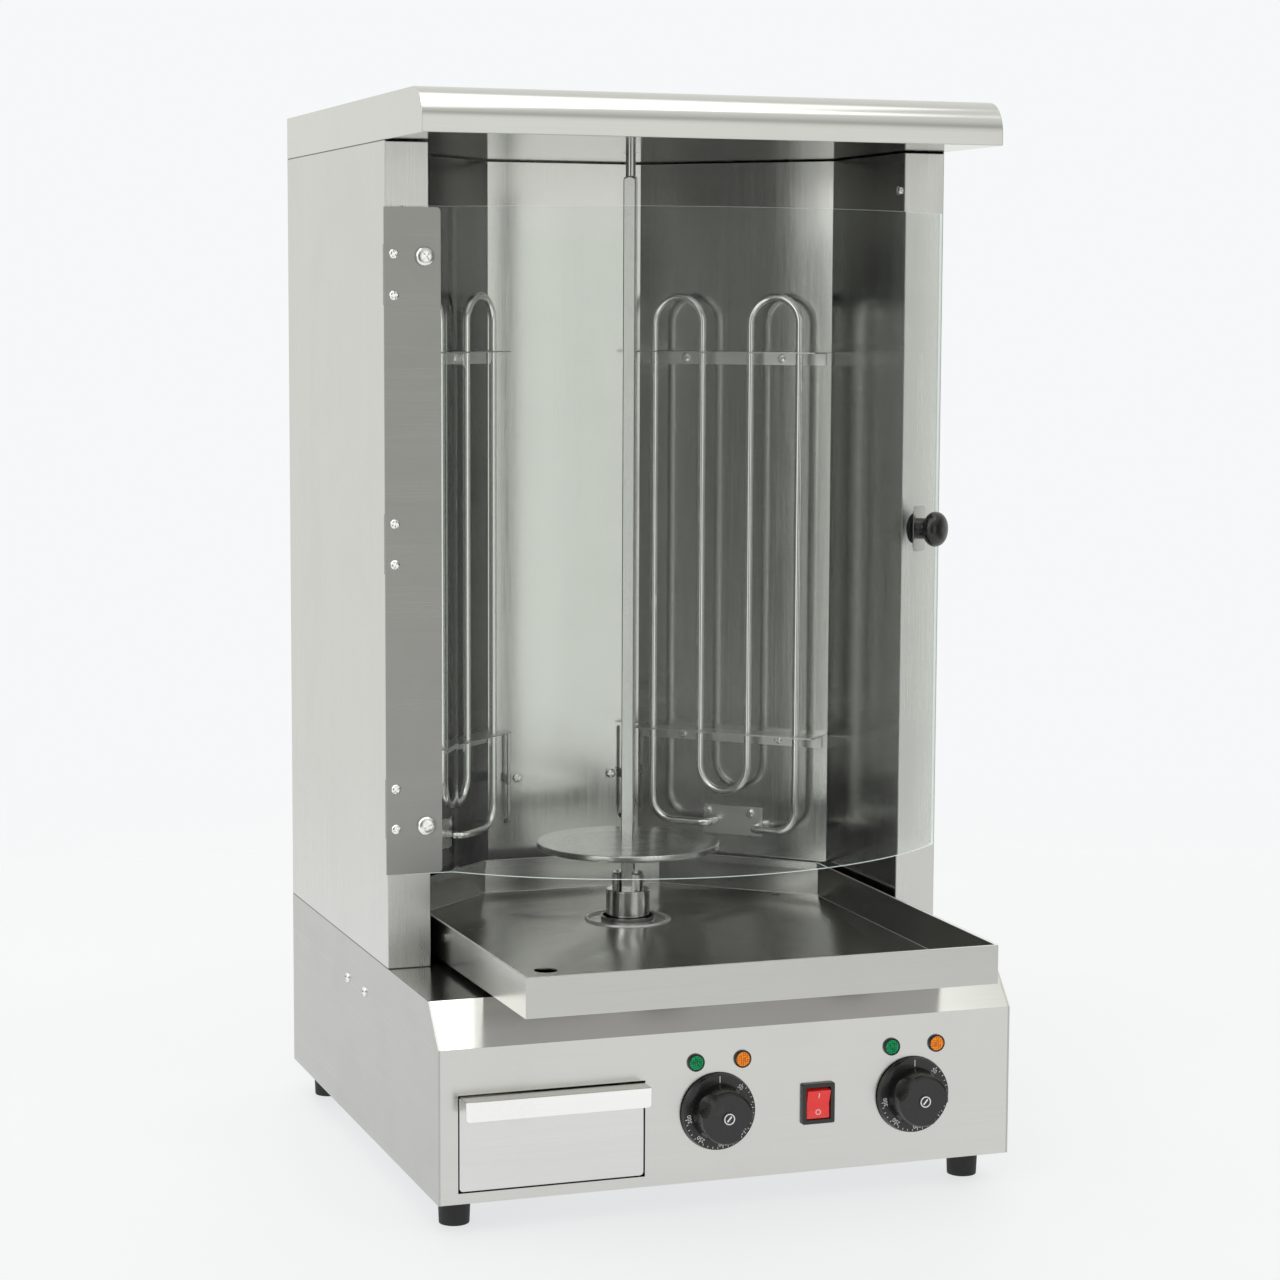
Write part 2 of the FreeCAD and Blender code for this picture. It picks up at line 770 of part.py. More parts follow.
def dial(x):
    """A skirted dial whose grip is scooped on two sides, leaving a bar to turn it by."""
    centre = V(x, dial_plane_y(), base_z + dial_height)
    skirt = Part.makeCone(dial_skirt_radius, dial_skirt_radius - 1.0, dial_skirt_thickness, centre, TO_FRONT)
    grip_start = centre + TO_FRONT * dial_skirt_thickness
    grip = Part.makeCone(dial_grip_base_radius, dial_grip_top_radius, dial_grip_height, grip_start, TO_FRONT)
    top = centre + TO_FRONT * (dial_skirt_thickness + dial_grip_height)
    rim = [edge for edge in grip.Edges if edge.Closed and (edge.CenterOfMass - top).Length < 0.01]
    grip = grip.makeFillet(3.0, rim)
    scoops = []
    for way in (-1, 1):
        reach = dial_finger_width / 2 + dial_scoop_radius
        scoop = Part.makeSphere(dial_scoop_radius, top + V(way * reach, 0, 0) + TO_FRONT * 4.0)
        scoop.rotate(centre, TO_FRONT, dial_bar_angle)
        scoops.append(scoop)
    grip = drilled(grip, scoops)
    cap = rod(dial_cap_radius, top + TO_FRONT * -1.0, TO_FRONT, 1.6)
    body = joined([skirt, grip, cap])
    hole = rod(spindle_radius + running_clearance, centre, TO_FRONT, dial_grip_height * 0.7)
    clear = rod(bush_radius + 1.5, centre, TO_FRONT, dial_skirt_thickness - 1.0)
    return drilled(body, [hole, clear])


def spindle(x):
    """The thermostat's spindle, pushed into the dial."""
    start = V(x, front_y + sheet + thermostat_depth * 0.4, base_z + dial_height)
    reach = start.y - dial_plane_y() + dial_grip_height * 0.65
    return rod(spindle_radius, start, TO_FRONT, reach)


def thermostats():
    """The two capillary thermostats behind the dials."""
    return Part.makeCompound([thermostat(x) for x in control_points()])


def thermostat(x):
    """A capillary thermostat: body behind the panel and a threaded bush through it."""
    z = base_z + dial_height
    y0 = front_y + sheet
    body = box(x - thermostat_width / 2, y0, z - thermostat_height / 2,
               x + thermostat_width / 2, y0 + thermostat_depth, z + thermostat_height / 2)
    upright = [edge for edge in body.Edges if edge.BoundBox.YLength > thermostat_depth / 2]
    body = body.makeFillet(4.0, upright)
    bush = rod(bush_radius, V(x, y0, z), TO_FRONT, sheet + dial_skirt_gap + 1.5)
    drum = rod(thermostat_height * 0.4, V(x, y0 + thermostat_depth, z), V(0, 1, 0), 8.0)
    bore = rod(spindle_radius + running_clearance, V(x, y0 + thermostat_depth * 0.5, z), TO_FRONT,
               thermostat_depth)
    return joined([body, bush, drum]).cut(bore)


def lamp(x, offset):
    """A neon lamp: domed lens in a bezel outside, body behind the panel."""
    centre = V(x + offset, front_y, base_z + lamp_height)
    lens = rod(lamp_bezel_radius, centre, TO_FRONT, lamp_bezel_height)
    middle_y = front_y - lamp_bezel_height / 2
    rim = [edge for edge in lens.Edges if edge.Closed and edge.CenterOfMass.y < middle_y]
    lens = lens.makeFillet(1.2, rim)
    body = rod(lamp_body_radius, centre, TO_FRONT * -1, lamp_body_length)
    return joined([lens, body])


def lamp_pair(offset):
    """The two lamps of one colour, one above each dial."""
    return Part.makeCompound([lamp(x, offset) for x in control_points()])


def switch_housing():
    """The rocker switch's bezel and its body behind the panel."""
    z = base_z + switch_height
    half = switch_width / 2
    tall = switch_tall / 2
    bezel = box(switch_x - half, front_y - switch_rim, z - tall, switch_x + half, front_y, z + tall)
    corners = [edge for edge in bezel.Edges if edge.BoundBox.YLength > switch_rim / 2]
    bezel = bezel.makeFillet(1.5, corners)
    inner_x = half - switch_bezel
    inner_z = tall - switch_bezel
    body = box(switch_x - inner_x, front_y, z - inner_z, switch_x + inner_x, front_y + switch_body_depth,
               z + inner_z)
    well_x = inner_x - liner_sheet
    well_z = inner_z - liner_sheet
    well = box(switch_x - well_x, front_y - switch_rim - 1, z - well_z,
               switch_x + well_x, front_y + rocker_thickness + 3.0, z + well_z)
    return joined([bezel, body]).cut(well)


def rocker_axis():
    """The rocker's pivot line, given by a point on it."""
    return V(switch_x, front_y + 3.0, base_z + switch_height)


def switch_rocker():
    """The red rocker, with a shallow V face, at rest with its lower half pressed in."""
    z = base_z + switch_height
    half = switch_width / 2 - switch_bezel - liner_sheet - rocker_clearance
    tall = switch_tall / 2 - switch_bezel - liner_sheet - rocker_clearance - 0.5
    face = front_y - switch_rim * 0.6
    outline = [(face - 1.6, z - tall), (face + 0.4, z), (face - 1.6, z + tall),
               (face + rocker_thickness * 0.6, z + tall * 0.97), (face + rocker_thickness, z),
               (face + rocker_thickness * 0.6, z - tall * 0.97)]
    rocker = side_prism(outline, switch_x - half, switch_x + half)
    rocker.rotate(rocker_axis(), TO_RIGHT, rocker_tilt)
    return rocker


# Mains entry
def gland_x():
    """The gland's place across the back."""
    return half_width - gland_inset_x


def cable_gland():
    """A threaded gland: hexagon nut outside, thread and lock nut inside."""
    z = base_z + gland_height
    start = V(gland_x(), back_y - sheet - gland_inner_length, z)
    back = V(0, 1, 0)
    thread = rod(gland_thread_radius, start, back, sheet + gland_inner_length + 2.0)
    nut = hexagon(gland_nut_radius, V(gland_x(), back_y, z), gland_reach * 0.6)
    dome = Part.makeCone(gland_nut_radius * 0.9, gland_bore_radius + 2.0, gland_reach * 0.4,
                         V(gland_x(), back_y + gland_reach * 0.6, z), back)
    lock = hexagon(gland_nut_radius, V(gland_x(), back_y - sheet - 4.0, z), 4.0)
    bore = rod(gland_bore_radius, start, back, gland_inner_length + sheet + gland_reach)
    return joined([thread, nut, dome, lock]).cut(bore)


def hexagon(radius, start, length):
    """A hexagonal prism along +Y."""
    corners = []
    for step in range(6):
        angle = math.radians(60 * step)
        corners.append(start + V(radius * math.cos(angle), 0, radius * math.sin(angle)))
    return Part.Face(Part.makePolygon(corners + corners[:1])).extrude(V(0, length, 0))


def terminal_block():
    """The mains terminal block on the bottom plate behind the gland."""
    floor = base_z + side_sheet
    y1 = back_y - block_setback
    x0 = gland_x() - block_width / 2
    block = box(x0, y1 - block_depth, floor, x0 + block_width, y1, floor + block_height)
    ways = 3
    tools = []
    for way in range(ways):
        x = x0 + block_width * (way + 0.5) / ways
        tools.append(rod(3.0, V(x, y1 - block_depth / 2, floor + block_height), UP * -1, 7.0))
        tools.append(rod(2.4, V(x, y1 + 1, floor + 6.0), TO_FRONT, block_depth + 2))
    return drilled(block, tools)


# Upper housing
def housing_side(side):
    """One bent sheet: an outer side wall and the front flange beside the door."""
    outer = side * half_width
    wall_in = outer - side * sheet
    flange_in = side * chamber_half
    wall = box(min(outer, wall_in), flange_y, deck_z, max(outer, wall_in), back_y, roof_z)
    flange = box(min(outer, flange_in), flange_y, deck_z, max(outer, flange_in), flange_y + sheet,
                 roof_z - ceiling_gap)
    return joined([wall, flange])


def housing_back():
    """The rear plate of the housing."""
    inner = half_width - sheet
    return box(-inner, back_y - sheet, deck_z, inner, back_y, roof_z)


def liner_outline():
    """Inner and outer corners of the chamber's right half, mitred where panels meet."""
    miter = liner_sheet * math.tan(math.radians(22.5))
    t = liner_sheet
    return {
        "side": [(chamber_half, flange_y + sheet), (chamber_half, corner_y),
                 (chamber_half + t, corner_y + miter), (chamber_half + t, flange_y + sheet)],
        "slant": [(chamber_half, corner_y), (back_panel_half, chamber_back_y),
                  (back_panel_half + miter, chamber_back_y + t), (chamber_half + t, corner_y + miter)],
    }


def chamber_side(side):
    """A chamber wall behind the door flange."""
    wall = plan_prism(liner_outline()["side"], deck_z, roof_z - ceiling_gap)
    if side < 0:
        wall = mirrored(wall)
    return drilled(wall, [screw_hole(point, outward) for point,
                          outward in wall_screw_points() if point.x * side > 0])


def heater_panel(side):
    """An angled chamber wall that carries a heater, with holes for the heater's ends."""
    panel = plan_prism(liner_outline()["slant"], deck_z, roof_z - ceiling_gap)
    if side < 0:
        panel = mirrored(panel)
    tools = []
    for point, outward in heater_screw_points():
        if point.x * side > 0:
            tools.append(screw_hole(point, outward))
    return drilled(panel, tools + heater_end_holes(side))


def heater_end_points():
    """Distance along the panel and height of a heater's two ends."""
    middle = heater_panel_length / 2
    z = deck_z + heater_end_above_deck
    return [(middle + heater_end_inner, z), (middle + heater_end_outer, z - heater_outer_end_drop)]


def heater_end_holes(side):
    """Holes behind the two ends of a heater, through plate and panel."""
    inward = heater_frame(side)[2]
    radius = heater_tube_radius + hole_clearance
    return [rod(radius, on_heater(side, s, 5.0, z), inward * -1, 12.0) for s, z in heater_end_points()]


def chamber_back_panel():
    """The middle chamber wall, with holes for the thermostats' capillaries."""
    miter = liner_sheet * math.tan(math.radians(22.5))
    half = back_panel_half
    outline = [(-half, chamber_back_y), (half, chamber_back_y),
               (half + miter, chamber_back_y + liner_sheet), (-half - miter, chamber_back_y + liner_sheet)]
    panel = plan_prism(outline, deck_z, roof_z - ceiling_gap)
    tools = [screw_hole(point, outward) for point, outward in bulb_screw_points()]
    for side in (-1, 1):
        at = V(side * bulb_half_pitch, chamber_back_y + 3, capillary_z())
        tools.append(rod(2 * capillary_radius, at, TO_FRONT, 6.0))
    return drilled(panel, tools)


def ceiling_plate():
    """The chamber's ceiling, which also closes the roof from below."""
    inner = half_width - sheet
    plate = box(-inner, roof_front_y + sheet, roof_z, inner, back_y - sheet, roof_z + sheet)
    tools = [ceiling_screw(point, hole_clearance) for point in ceiling_screw_points()]
    tools.append(rod(bearing_sleeve_radius + running_clearance, V(0, spit_y, deck_z), UP, roof_top_z))
    return drilled(plate, tools)


def nose_outline(inset):
    """Side outline of the roof, with its rounded front, drawn in by the sheet's thickness."""
    radius = roof_nose_radius - inset
    centre = V(0, roof_front_y + roof_nose_radius, roof_top_z - roof_nose_radius)
    low = roof_z if inset == 0 else roof_z - 1
    front = V(0, roof_front_y + inset, low)
    spring = V(0, roof_front_y + inset, centre.z)
    slant = radius * math.sqrt(0.5)
    crown = V(0, centre.y - slant, centre.z + slant)
    top = V(0, centre.y, roof_top_z - inset)
    back_top = V(0, back_y - inset, roof_top_z - inset)
    back_low = V(0, back_y - inset, low)
    edges = [Part.makeLine(front, spring), Part.Arc(spring, crown, top).toShape(),
             Part.makeLine(top, back_top),
             Part.makeLine(back_top, back_low), Part.makeLine(back_low, front)]
    return Part.Face(Part.Wire(edges))


def roof_cap():
    """The roof: a shallow pan turned over, with a bull-nosed front edge."""
    outer = nose_outline(0)
    outer.translate(V(-half_width, 0, 0))
    hollow = nose_outline(sheet)
    hollow.translate(V(sheet - half_width, 0, 0))
    return outer.extrude(V(body_width, 0, 0)).cut(hollow.extrude(V(body_width - 2 * sheet, 0, 0)))


# Heaters
def rounded_path(points, radii):
    """A wire through the points, with a tangent arc of its own radius at each inner point."""
    edges = []
    start = points[0]
    for before, corner, after, radius in zip(points, points[1:], points[2:], radii):
        back = (before - corner).normalize()
        on = (after - corner).normalize()
        half_turn = (math.pi - back.getAngle(on)) / 2
        reach = radius * math.tan(half_turn)
        bisector = (back + on).normalize()
        centre = corner + bisector * (radius / math.cos(half_turn))
        enter = corner + back * reach
        leave = corner + on * reach
        if (enter - start).Length > 1e-6:
            edges.append(Part.makeLine(start, enter))
        edges.append(Part.Arc(enter, centre - bisector * radius, leave).toShape())
        start = leave
    edges.append(Part.makeLine(start, points[-1]))
    return Part.Wire(edges)


def heater(side):
    """A steel-sheathed element bent into three turns, both ends through the panel."""
    middle = heater_panel_length / 2
    legs = [middle + heater_leg_pitch * (step - 1.5) for step in range(4)]
    top = deck_z + heater_top_above_deck - heater_tube_radius
    loop = deck_z + heater_loop_above_deck + heater_tube_radius
    (inner_s, inner_z), (outer_s, outer_z) = heater_end_points()
    off = heater_stand_off
    bend = heater_leg_pitch / 2 - 0.02
    track = [(inner_s, -heater_tail, inner_z), (inner_s, off, inner_z), (legs[0], off, inner_z),
             (legs[0], off, top), (legs[1], off, top), (legs[1], off, loop), (legs[2], off, loop),
             (legs[2], off, top), (legs[3], off, top),
             (legs[3], off, outer_z), (outer_s, off, outer_z), (outer_s, -heater_tail, outer_z)]
    radii = [heater_turn_in_radius, heater_end_radius, bend, bend, bend, bend, bend, bend,
             heater_end_radius, heater_turn_in_radius]
    path = rounded_path([on_heater(side, s, out, z) for s, out, z in track], radii)
    inward = heater_frame(side)[2]
    start = on_heater(side, inner_s, -heater_tail, inner_z)
    section = Part.Wire(Part.makeCircle(heater_tube_radius, start, inward))
    return path.makePipeShell([section], True, False)


def heaters():
    """The two elements, one on each angled panel."""
    return Part.makeCompound([heater(-1), heater(1)])


def heater_bracket(side, level):
    """An angle strip: one leg screwed to the panel, one shelf with holes for the heater's legs."""
    middle = heater_panel_length / 2
    s0 = middle - heater_bracket_length / 2
    s1 = middle + heater_bracket_length / 2
    z = deck_z + level
    leg = heater_plate(side, s0, s1, 0, sheet, z - heater_bracket_leg, z)
    shelf = heater_plate(side, s0, s1, 0, heater_bracket_depth, z - liner_sheet, z)
    tools = []
    for step in range(4):
        s = middle + heater_leg_pitch * (step - 1.5)
        tools.append(rod(heater_tube_radius + hole_clearance, on_heater(side, s, heater_stand_off, z - 2),
                         UP, 4.0))
    for point, outward in heater_screw_points():
        if point.x * side > 0:
            tools.append(screw_hole(point, outward))
    return drilled(joined([leg, shelf]), tools)


def heater_brackets():
    """An upper and a lower strip on each heater panel."""
    levels = (heater_bracket_upper_height, heater_bracket_lower_height)
    return Part.makeCompound([heater_bracket(side, level) for side in (-1, 1) for level in levels])


def terminal_plates():
    """The small plate behind each heater's ends."""
    middle = heater_panel_length / 2 + terminal_plate_offset
    z0 = deck_z + heater_end_above_deck - terminal_plate_height / 2 + 1.0
    plates = []
    for side in (-1, 1):
        plate = heater_plate(side, middle - terminal_plate_width / 2, middle + terminal_plate_width / 2,
                             0, sheet, z0, z0 + terminal_plate_height)
        tools = [screw_hole(point, outward) for point, outward in heater_screw_points() if point.x * side > 0]
        plates.append(drilled(plate, tools + heater_end_holes(side)))
    return Part.makeCompound(plates)


def capillary_z():
    """Height at which the capillaries pass through the back panel."""
    return deck_z + bulb_bottom_above_deck - 7.0


def thermostat_bulbs():
    """Two sensing bulbs, each with its capillary turned back through the panel."""
    bulbs = []
    y = chamber_back_y - bulb_stand_off
    bottom = deck_z + bulb_bottom_above_deck
    for side in (-1, 1):
        x = side * bulb_half_pitch
        bulb = rod(bulb_radius, V(x, y, bottom), UP, bulb_length)
        bulb = bulb.makeFillet(1.2, [edge for edge in bulb.Edges if edge.Closed])
        corner = V(x, y, capillary_z())
        path = rounded_path([V(x, y, bottom + 2), corner, V(x, chamber_back_y + 6, corner.z)], [4.0])
        section = Part.Wire(Part.makeCircle(capillary_radius, V(x, y, bottom + 2), UP))
        bulbs.append(joined([bulb, path.makePipeShell([section], True, False)]))
    return Part.makeCompound(bulbs)


def bulb_clips():
    """A bent strip round each bulb, held by one screw."""
    clips = []
    z = deck_z + bulb_screw_above_deck
    y = chamber_back_y
    grip = bulb_radius + running_clearance
    for side in (-1, 1):
        x = side * bulb_half_pitch
        screw_x = side * bulb_screw_half_pitch
        foot = box(min(x, screw_x - side * 4), y - clip_sheet, z - clip_height / 2,
                   max(x, screw_x - side * 4), y, z + clip_height / 2)
        ring_centre = V(x, y - bulb_stand_off, z - clip_height / 2)
        ring = rod(grip + clip_sheet, ring_centre, UP, clip_height)
        stem = box(x - clip_sheet, y - bulb_stand_off, z - clip_height / 2, x + clip_sheet, y,
                   z + clip_height / 2)
        clip = joined([foot, ring, stem]).cut(rod(grip, ring_centre, UP, clip_height))
        tools = [screw_hole(point, outward) for point, outward in bulb_screw_points()]
        clips.append(drilled(clip, tools))
    return Part.makeCompound(clips)


# Door
def door_levels():
    """Bottom and top of the glass."""
    bottom = deck_z + glass_above_deck
    return bottom, bottom + glass_height


def tab_front_y():
    """Front face of the glass where the hinge plate clamps it."""
    return flange_y - glass_flange_gap - door_glass_thickness


def bulge_radius():
    """Outer radius of the glass's wide arc, which fits between its tight bend and its right edge."""
    depth = tab_front_y() - (flange_y - glass_bulge_depth)
    spread = (half_width - glass_right_margin - bend_start_x()) / math.sqrt(depth)
    excess = 2 * door_glass_thickness + 2 * glass_bend_radius
    return ((spread - excess / spread) ** 2 / 4 + depth + 2 * door_glass_thickness) / 2


def bend_start_x():
    """Where the flat tab ends and the glass begins to bend forward."""
    return hinge_plate_edges()[1] + glass_bend_gap


def bulge_centre():
    """Centre of the glass's big arc in plan."""
    outer = bulge_radius()
    right = half_width - glass_right_margin
    apex_y = flange_y - glass_bulge_depth
    centre_y = apex_y + outer
    rise = centre_y - (tab_front_y() + door_glass_thickness)
    inner_radius = outer - door_glass_thickness
    return V(right - math.sqrt(inner_radius ** 2 - rise ** 2), centre_y, 0)


def arc_point(centre, radius, angle):
    """A point at an angle, counted from straight ahead towards the right."""
    return centre + V(radius * math.sin(angle), -radius * math.cos(angle), 0)


def door_glass():
    """Bent glass: a flat tab under the hinge plate, a tight bend, then one wide arc."""
    outer = bulge_radius()
    z0, z1 = door_levels()
    t = door_glass_thickness
    centre = bulge_centre()
    front = tab_front_y()
    bend = V(0, front - glass_bend_radius, 0)
    apart = outer + glass_bend_radius
    bend.x = centre.x - math.sqrt(apart ** 2 - (centre.y - bend.y) ** 2)
    start_angle = math.atan2(bend.x - centre.x, centre.y - bend.y)
    rise = centre.y - (front + t)
    end_angle = math.acos(rise / (outer - t))
    middle = (start_angle + end_angle) / 2
    left = glass_tab_left_margin - half_width

    def bend_point(radius, share):
        angle = start_angle * share
        return bend + V(-radius * math.sin(angle), radius * math.cos(angle), 0)

    inner = outer - t
    near = glass_bend_radius
    far = glass_bend_radius + t
    edges = [
        Part.makeLine(V(left, front, 0), bend_point(near, 0)),
        Part.Arc(bend_point(near, 0), bend_point(near, 0.5), bend_point(near, 1)).toShape(),
        Part.Arc(arc_point(centre, outer, start_angle), arc_point(centre, outer, middle),
                 arc_point(centre, outer, end_angle)).toShape(),
        Part.makeLine(arc_point(centre, outer, end_angle), arc_point(centre, inner, end_angle)),
        Part.Arc(arc_point(centre, inner, end_angle), arc_point(centre, inner, middle),
                 arc_point(centre, inner, start_angle)).toShape(),
        Part.Arc(bend_point(far, 1), bend_point(far, 0.5), bend_point(far, 0)).toShape(),
        Part.makeLine(bend_point(far, 0), V(left, front + t, 0)),
        Part.makeLine(V(left, front + t, 0), V(left, front, 0)),
    ]
    pane = Part.Face(Part.Wire(edges)).extrude(V(0, 0, z1 - z0))
    pane.translate(V(0, 0, z0))
    tools = []
    for point in glass_screw_points():
        tools.append(rod(glass_screw_shank() + 0.5, point, V(0, 1, 0), 3 * t))
    start, outward = door_knob_seat()
    tools.append(rod(2.5, start + outward, outward * -1, 3 * t))
    return drilled(pane, tools)


def hinge_plate_edges():
    """Left, right, bottom and top of the hinge plate."""
    z0, z1 = door_levels()
    left = -half_width - hinge_plate_overhang
    return left, left + hinge_plate_width, z0 + hinge_plate_shortfall, z1 - 1.0


def hinge_axis():
    """A point on the door's hinge line."""
    return V(-half_width, flange_y - hinge_knuckle_radius - 0.2, 0)


def hinge_heights():
    """Middle height of each of the three hinges."""
    left, right, low, high = hinge_plate_edges()
    return [(low + high) / 2 + step * hinge_pitch for step in (-1, 0, 1)]


def hinge_screw_points():
    """Two screws for each hinge, through the hinge plate."""
    left = hinge_plate_edges()[0]
    front = tab_front_y() - hinge_plate_sheet
    points = []
    for z in hinge_heights():
        for step in (-1, 1):
            points.append(V(left + hinge_screw_inset, front, z + step * hinge_screw_spacing / 2))
    return points


def glass_screw_points():
    """The two large screws that clamp the glass behind the hinge plate."""
    left, right, low, high = hinge_plate_edges()
    front = tab_front_y() - hinge_plate_sheet
    middle = (low + high) / 2
    return [V(right - glass_screw_inset, front, middle + step * glass_screw_spacing / 2) for step in (-1, 1)]


def glass_screw_shank():
    """Shank radius of a glass clamp screw."""
    return glass_screw_head_radius * 0.33


def hinge_plate():
    """The stainless strip that joins glass and hinges."""
    left, right, low, high = hinge_plate_edges()
    back = tab_front_y()
    plate = box(left, back - hinge_plate_sheet, low, right, back, high)
    corners = [edge for edge in plate.Edges if edge.BoundBox.YLength > 1 and edge.CenterOfMass.x > left + 1]
    plate = plate.makeFillet(3.0, corners)
    tools = [rod(1.6, point, V(0, 1, 0), 4.0) for point in hinge_screw_points()]
    tools += [rod(glass_screw_shank() + 0.2, point, V(0, 1, 0), 4.0) for point in glass_screw_points()]
    return drilled(plate, tools)


def knuckle_spans(z):
    """Lower and upper ends of a hinge's five knuckles."""
    step = hinge_length / 5
    low = z - hinge_length / 2
    return [(low + index * step, low + (index + 1) * step) for index in range(5)]


def hinge_leaf(z, knuckles, leaf_box):
    """A flat leaf with knuckles on the hinge line, at the listed places."""
    gap = 0.15
    axis = hinge_axis()
    parts = []
    for index in knuckles:
        low, high = knuckle_spans(z)[index]
        barrel = rod(hinge_knuckle_radius, V(axis.x, axis.y, low + gap), UP, high - low - 2 * gap)
        bridge = box(axis.x, leaf_box[1], low + gap, leaf_box[0] + 1, leaf_box[2], high - gap)
        parts.append(joined([barrel, bridge]))
    leaf = box(leaf_box[0], leaf_box[1], z - hinge_length / 2, axis.x + hinge_leaf_width, leaf_box[2],
               z + hinge_length / 2)
    whole = joined([leaf] + parts)
    bore = rod(hinge_pin_radius + running_clearance, V(axis.x, axis.y, z - hinge_length), UP,
               2 * hinge_length)
    return whole.cut(bore)


def hinge_leaves_door():
    """The three leaves behind the hinge plate."""
    back = tab_front_y()
    start_x = hinge_axis().x + hinge_knuckle_radius + 0.5
    leaves = []
    for z in hinge_heights():
        leaf = hinge_leaf(z, (1, 3), (start_x, back, back + hinge_leaf_sheet))
        leaves.append(drilled(leaf, [rod(1.6, point, V(0, 1, 0), 5.0) for point in hinge_screw_points()]))
    return Part.makeCompound(leaves)


def hinge_leaves_frame():
    """The three leaves fixed on the housing's left flange."""
    start_x = hinge_axis().x + hinge_knuckle_radius + 0.5
    leaves = []
    for z in hinge_heights():
        leaves.append(hinge_leaf(z, (0, 2, 4), (start_x, flange_y - hinge_leaf_sheet, flange_y)))
    return Part.makeCompound(leaves)


def hinge_pins():
    """One pin through each hinge's knuckles."""
    axis = hinge_axis()
    return Part.makeCompound([rod(hinge_pin_radius, V(axis.x, axis.y, z - hinge_length / 2), UP, hinge_length)
                              for z in hinge_heights()])


def hinge_screws():
    """Six small screws that hold the plate to the leaves."""
    reach = hinge_plate_sheet + hinge_leaf_sheet + 0.3
    return Part.makeCompound([pan_screw(point, TO_FRONT, 3.6, 1.8, 1.5,
                                        reach) for point in hinge_screw_points()])


def glass_screws():
    """Two large mushroom-headed screws that clamp the glass."""
    reach = hinge_plate_sheet + door_glass_thickness + 0.4
    return Part.makeCompound([pan_screw(point, TO_FRONT, glass_screw_head_radius, 3.6, glass_screw_shank(),
                                        reach)
                              for point in glass_screw_points()])


def door_knob_seat():
    """Where the knob stands on the glass, and the way it points."""
    centre = bulge_centre()
    outer = bulge_radius()
    rise = centre.y - (tab_front_y() + door_glass_thickness)
    end_angle = math.acos(rise / (outer - door_glass_thickness))
    angle = end_angle - door_knob_arc_length / outer
    outward = V(math.sin(angle), -math.cos(angle), 0)
    z0, z1 = door_levels()
    return arc_point(centre, outer, angle) + V(0, 0, (z0 + z1) / 2 + 5.5), outward


def door_knob():
    """A ball knob on a short neck, tapped for its screw."""
    seat, outward = door_knob_seat()
    start = seat + outward * knob_plate_sheet
    neck = rod(door_knob_neck_radius, start, outward, door_knob_stand_off - knob_plate_sheet)
    bore = rod(screw_shank_radius + running_clearance, seat, outward, door_knob_stand_off)
    return joined([neck, knob_cap(seat, outward)]).cut(bore)


def knob_cap(seat, outward):
    """The knob's rounded cap: a rim arc and two shallow domes turned about its axis."""
    half = door_knob_cap_half_thickness
    radius = door_knob_cap_radius
    low = V(0, 0, door_knob_stand_off - half)
    high = V(0, 0, door_knob_stand_off + half)
    rim = V(radius, 0, door_knob_stand_off)
    lean = 0.76
    under = V(radius * lean, 0, door_knob_stand_off - half * lean)
    over = V(radius * 0.62, 0, door_knob_stand_off + half * 0.88)
    crown = V(radius * 0.2, 0, door_knob_stand_off + half)
    edges = [Part.makeLine(low, under), Part.Arc(under, V(radius * 0.95, 0,
                                                          door_knob_stand_off - half * 0.38), rim).toShape(),
             Part.Arc(rim, V(radius * 0.91, 0, door_knob_stand_off + half * 0.5), over).toShape(),
             Part.Arc(over, V(radius * 0.38, 0, door_knob_stand_off + half * 0.97), crown).toShape(),
             Part.makeLine(crown, high),
             Part.makeLine(high, low)]
    cap = Part.Face(Part.Wire(edges)).revolve(V(0, 0, 0), UP, 360)
    cap.Placement = FreeCAD.Placement(seat, FreeCAD.Rotation(UP, outward))
    return cap


def glass_layer(blank, inner, outer):
    """The part of a blank that lies between two radii of the glass's wide arc."""
    z0, z1 = door_levels()
    centre = bulge_centre() + V(0, 0, z0)
    shell = rod(outer, centre, UP, z1 - z0).cut(rod(inner, centre, UP, z1 - z0))
    seat, outward = door_knob_seat()
    hole = rod(screw_shank_radius + hole_clearance, seat - outward * door_knob_stand_off, outward,
               2 * door_knob_stand_off)
    return shell.common(blank).cut(hole)


def knob_plate():
    """The thin metal plate between the knob's neck and the glass."""
    seat, outward = door_knob_seat()
    depth = 2 * door_glass_thickness
    blank = Part.makeBox(knob_plate_width, knob_plate_height, 2 * depth,
                         V(-knob_plate_width / 2, -knob_plate_height / 2, -depth))
    blank = blank.makeFillet(knob_plate_corner,
                             [edge for edge in blank.Edges if edge.BoundBox.ZLength > depth])
    sideways = UP.cross(outward)
    turn = FreeCAD.Rotation(sideways, UP, outward, "ZXY")
    blank.Placement = FreeCAD.Placement(seat, turn)
    return glass_layer(blank, bulge_radius(), bulge_radius() + knob_plate_sheet)


def knob_washer():
    """The rubber washer behind the glass."""
    seat, outward = door_knob_seat()
    inner = bulge_radius() - door_glass_thickness
    blank = rod(knob_washer_radius, seat, outward * -1, 3 * door_glass_thickness)
    return glass_layer(blank, inner - knob_washer_thickness, inner)


def knob_screw():
    """The screw that draws the knob to the glass from inside."""
    seat, outward = door_knob_seat()
    grip = door_glass_thickness + knob_washer_thickness + hole_clearance / 2
    shank = grip + door_knob_stand_off * 0.7
    return pan_screw(seat - outward * grip, outward * -1, screw_head_radius, screw_head_height,
                     screw_shank_radius, shank)


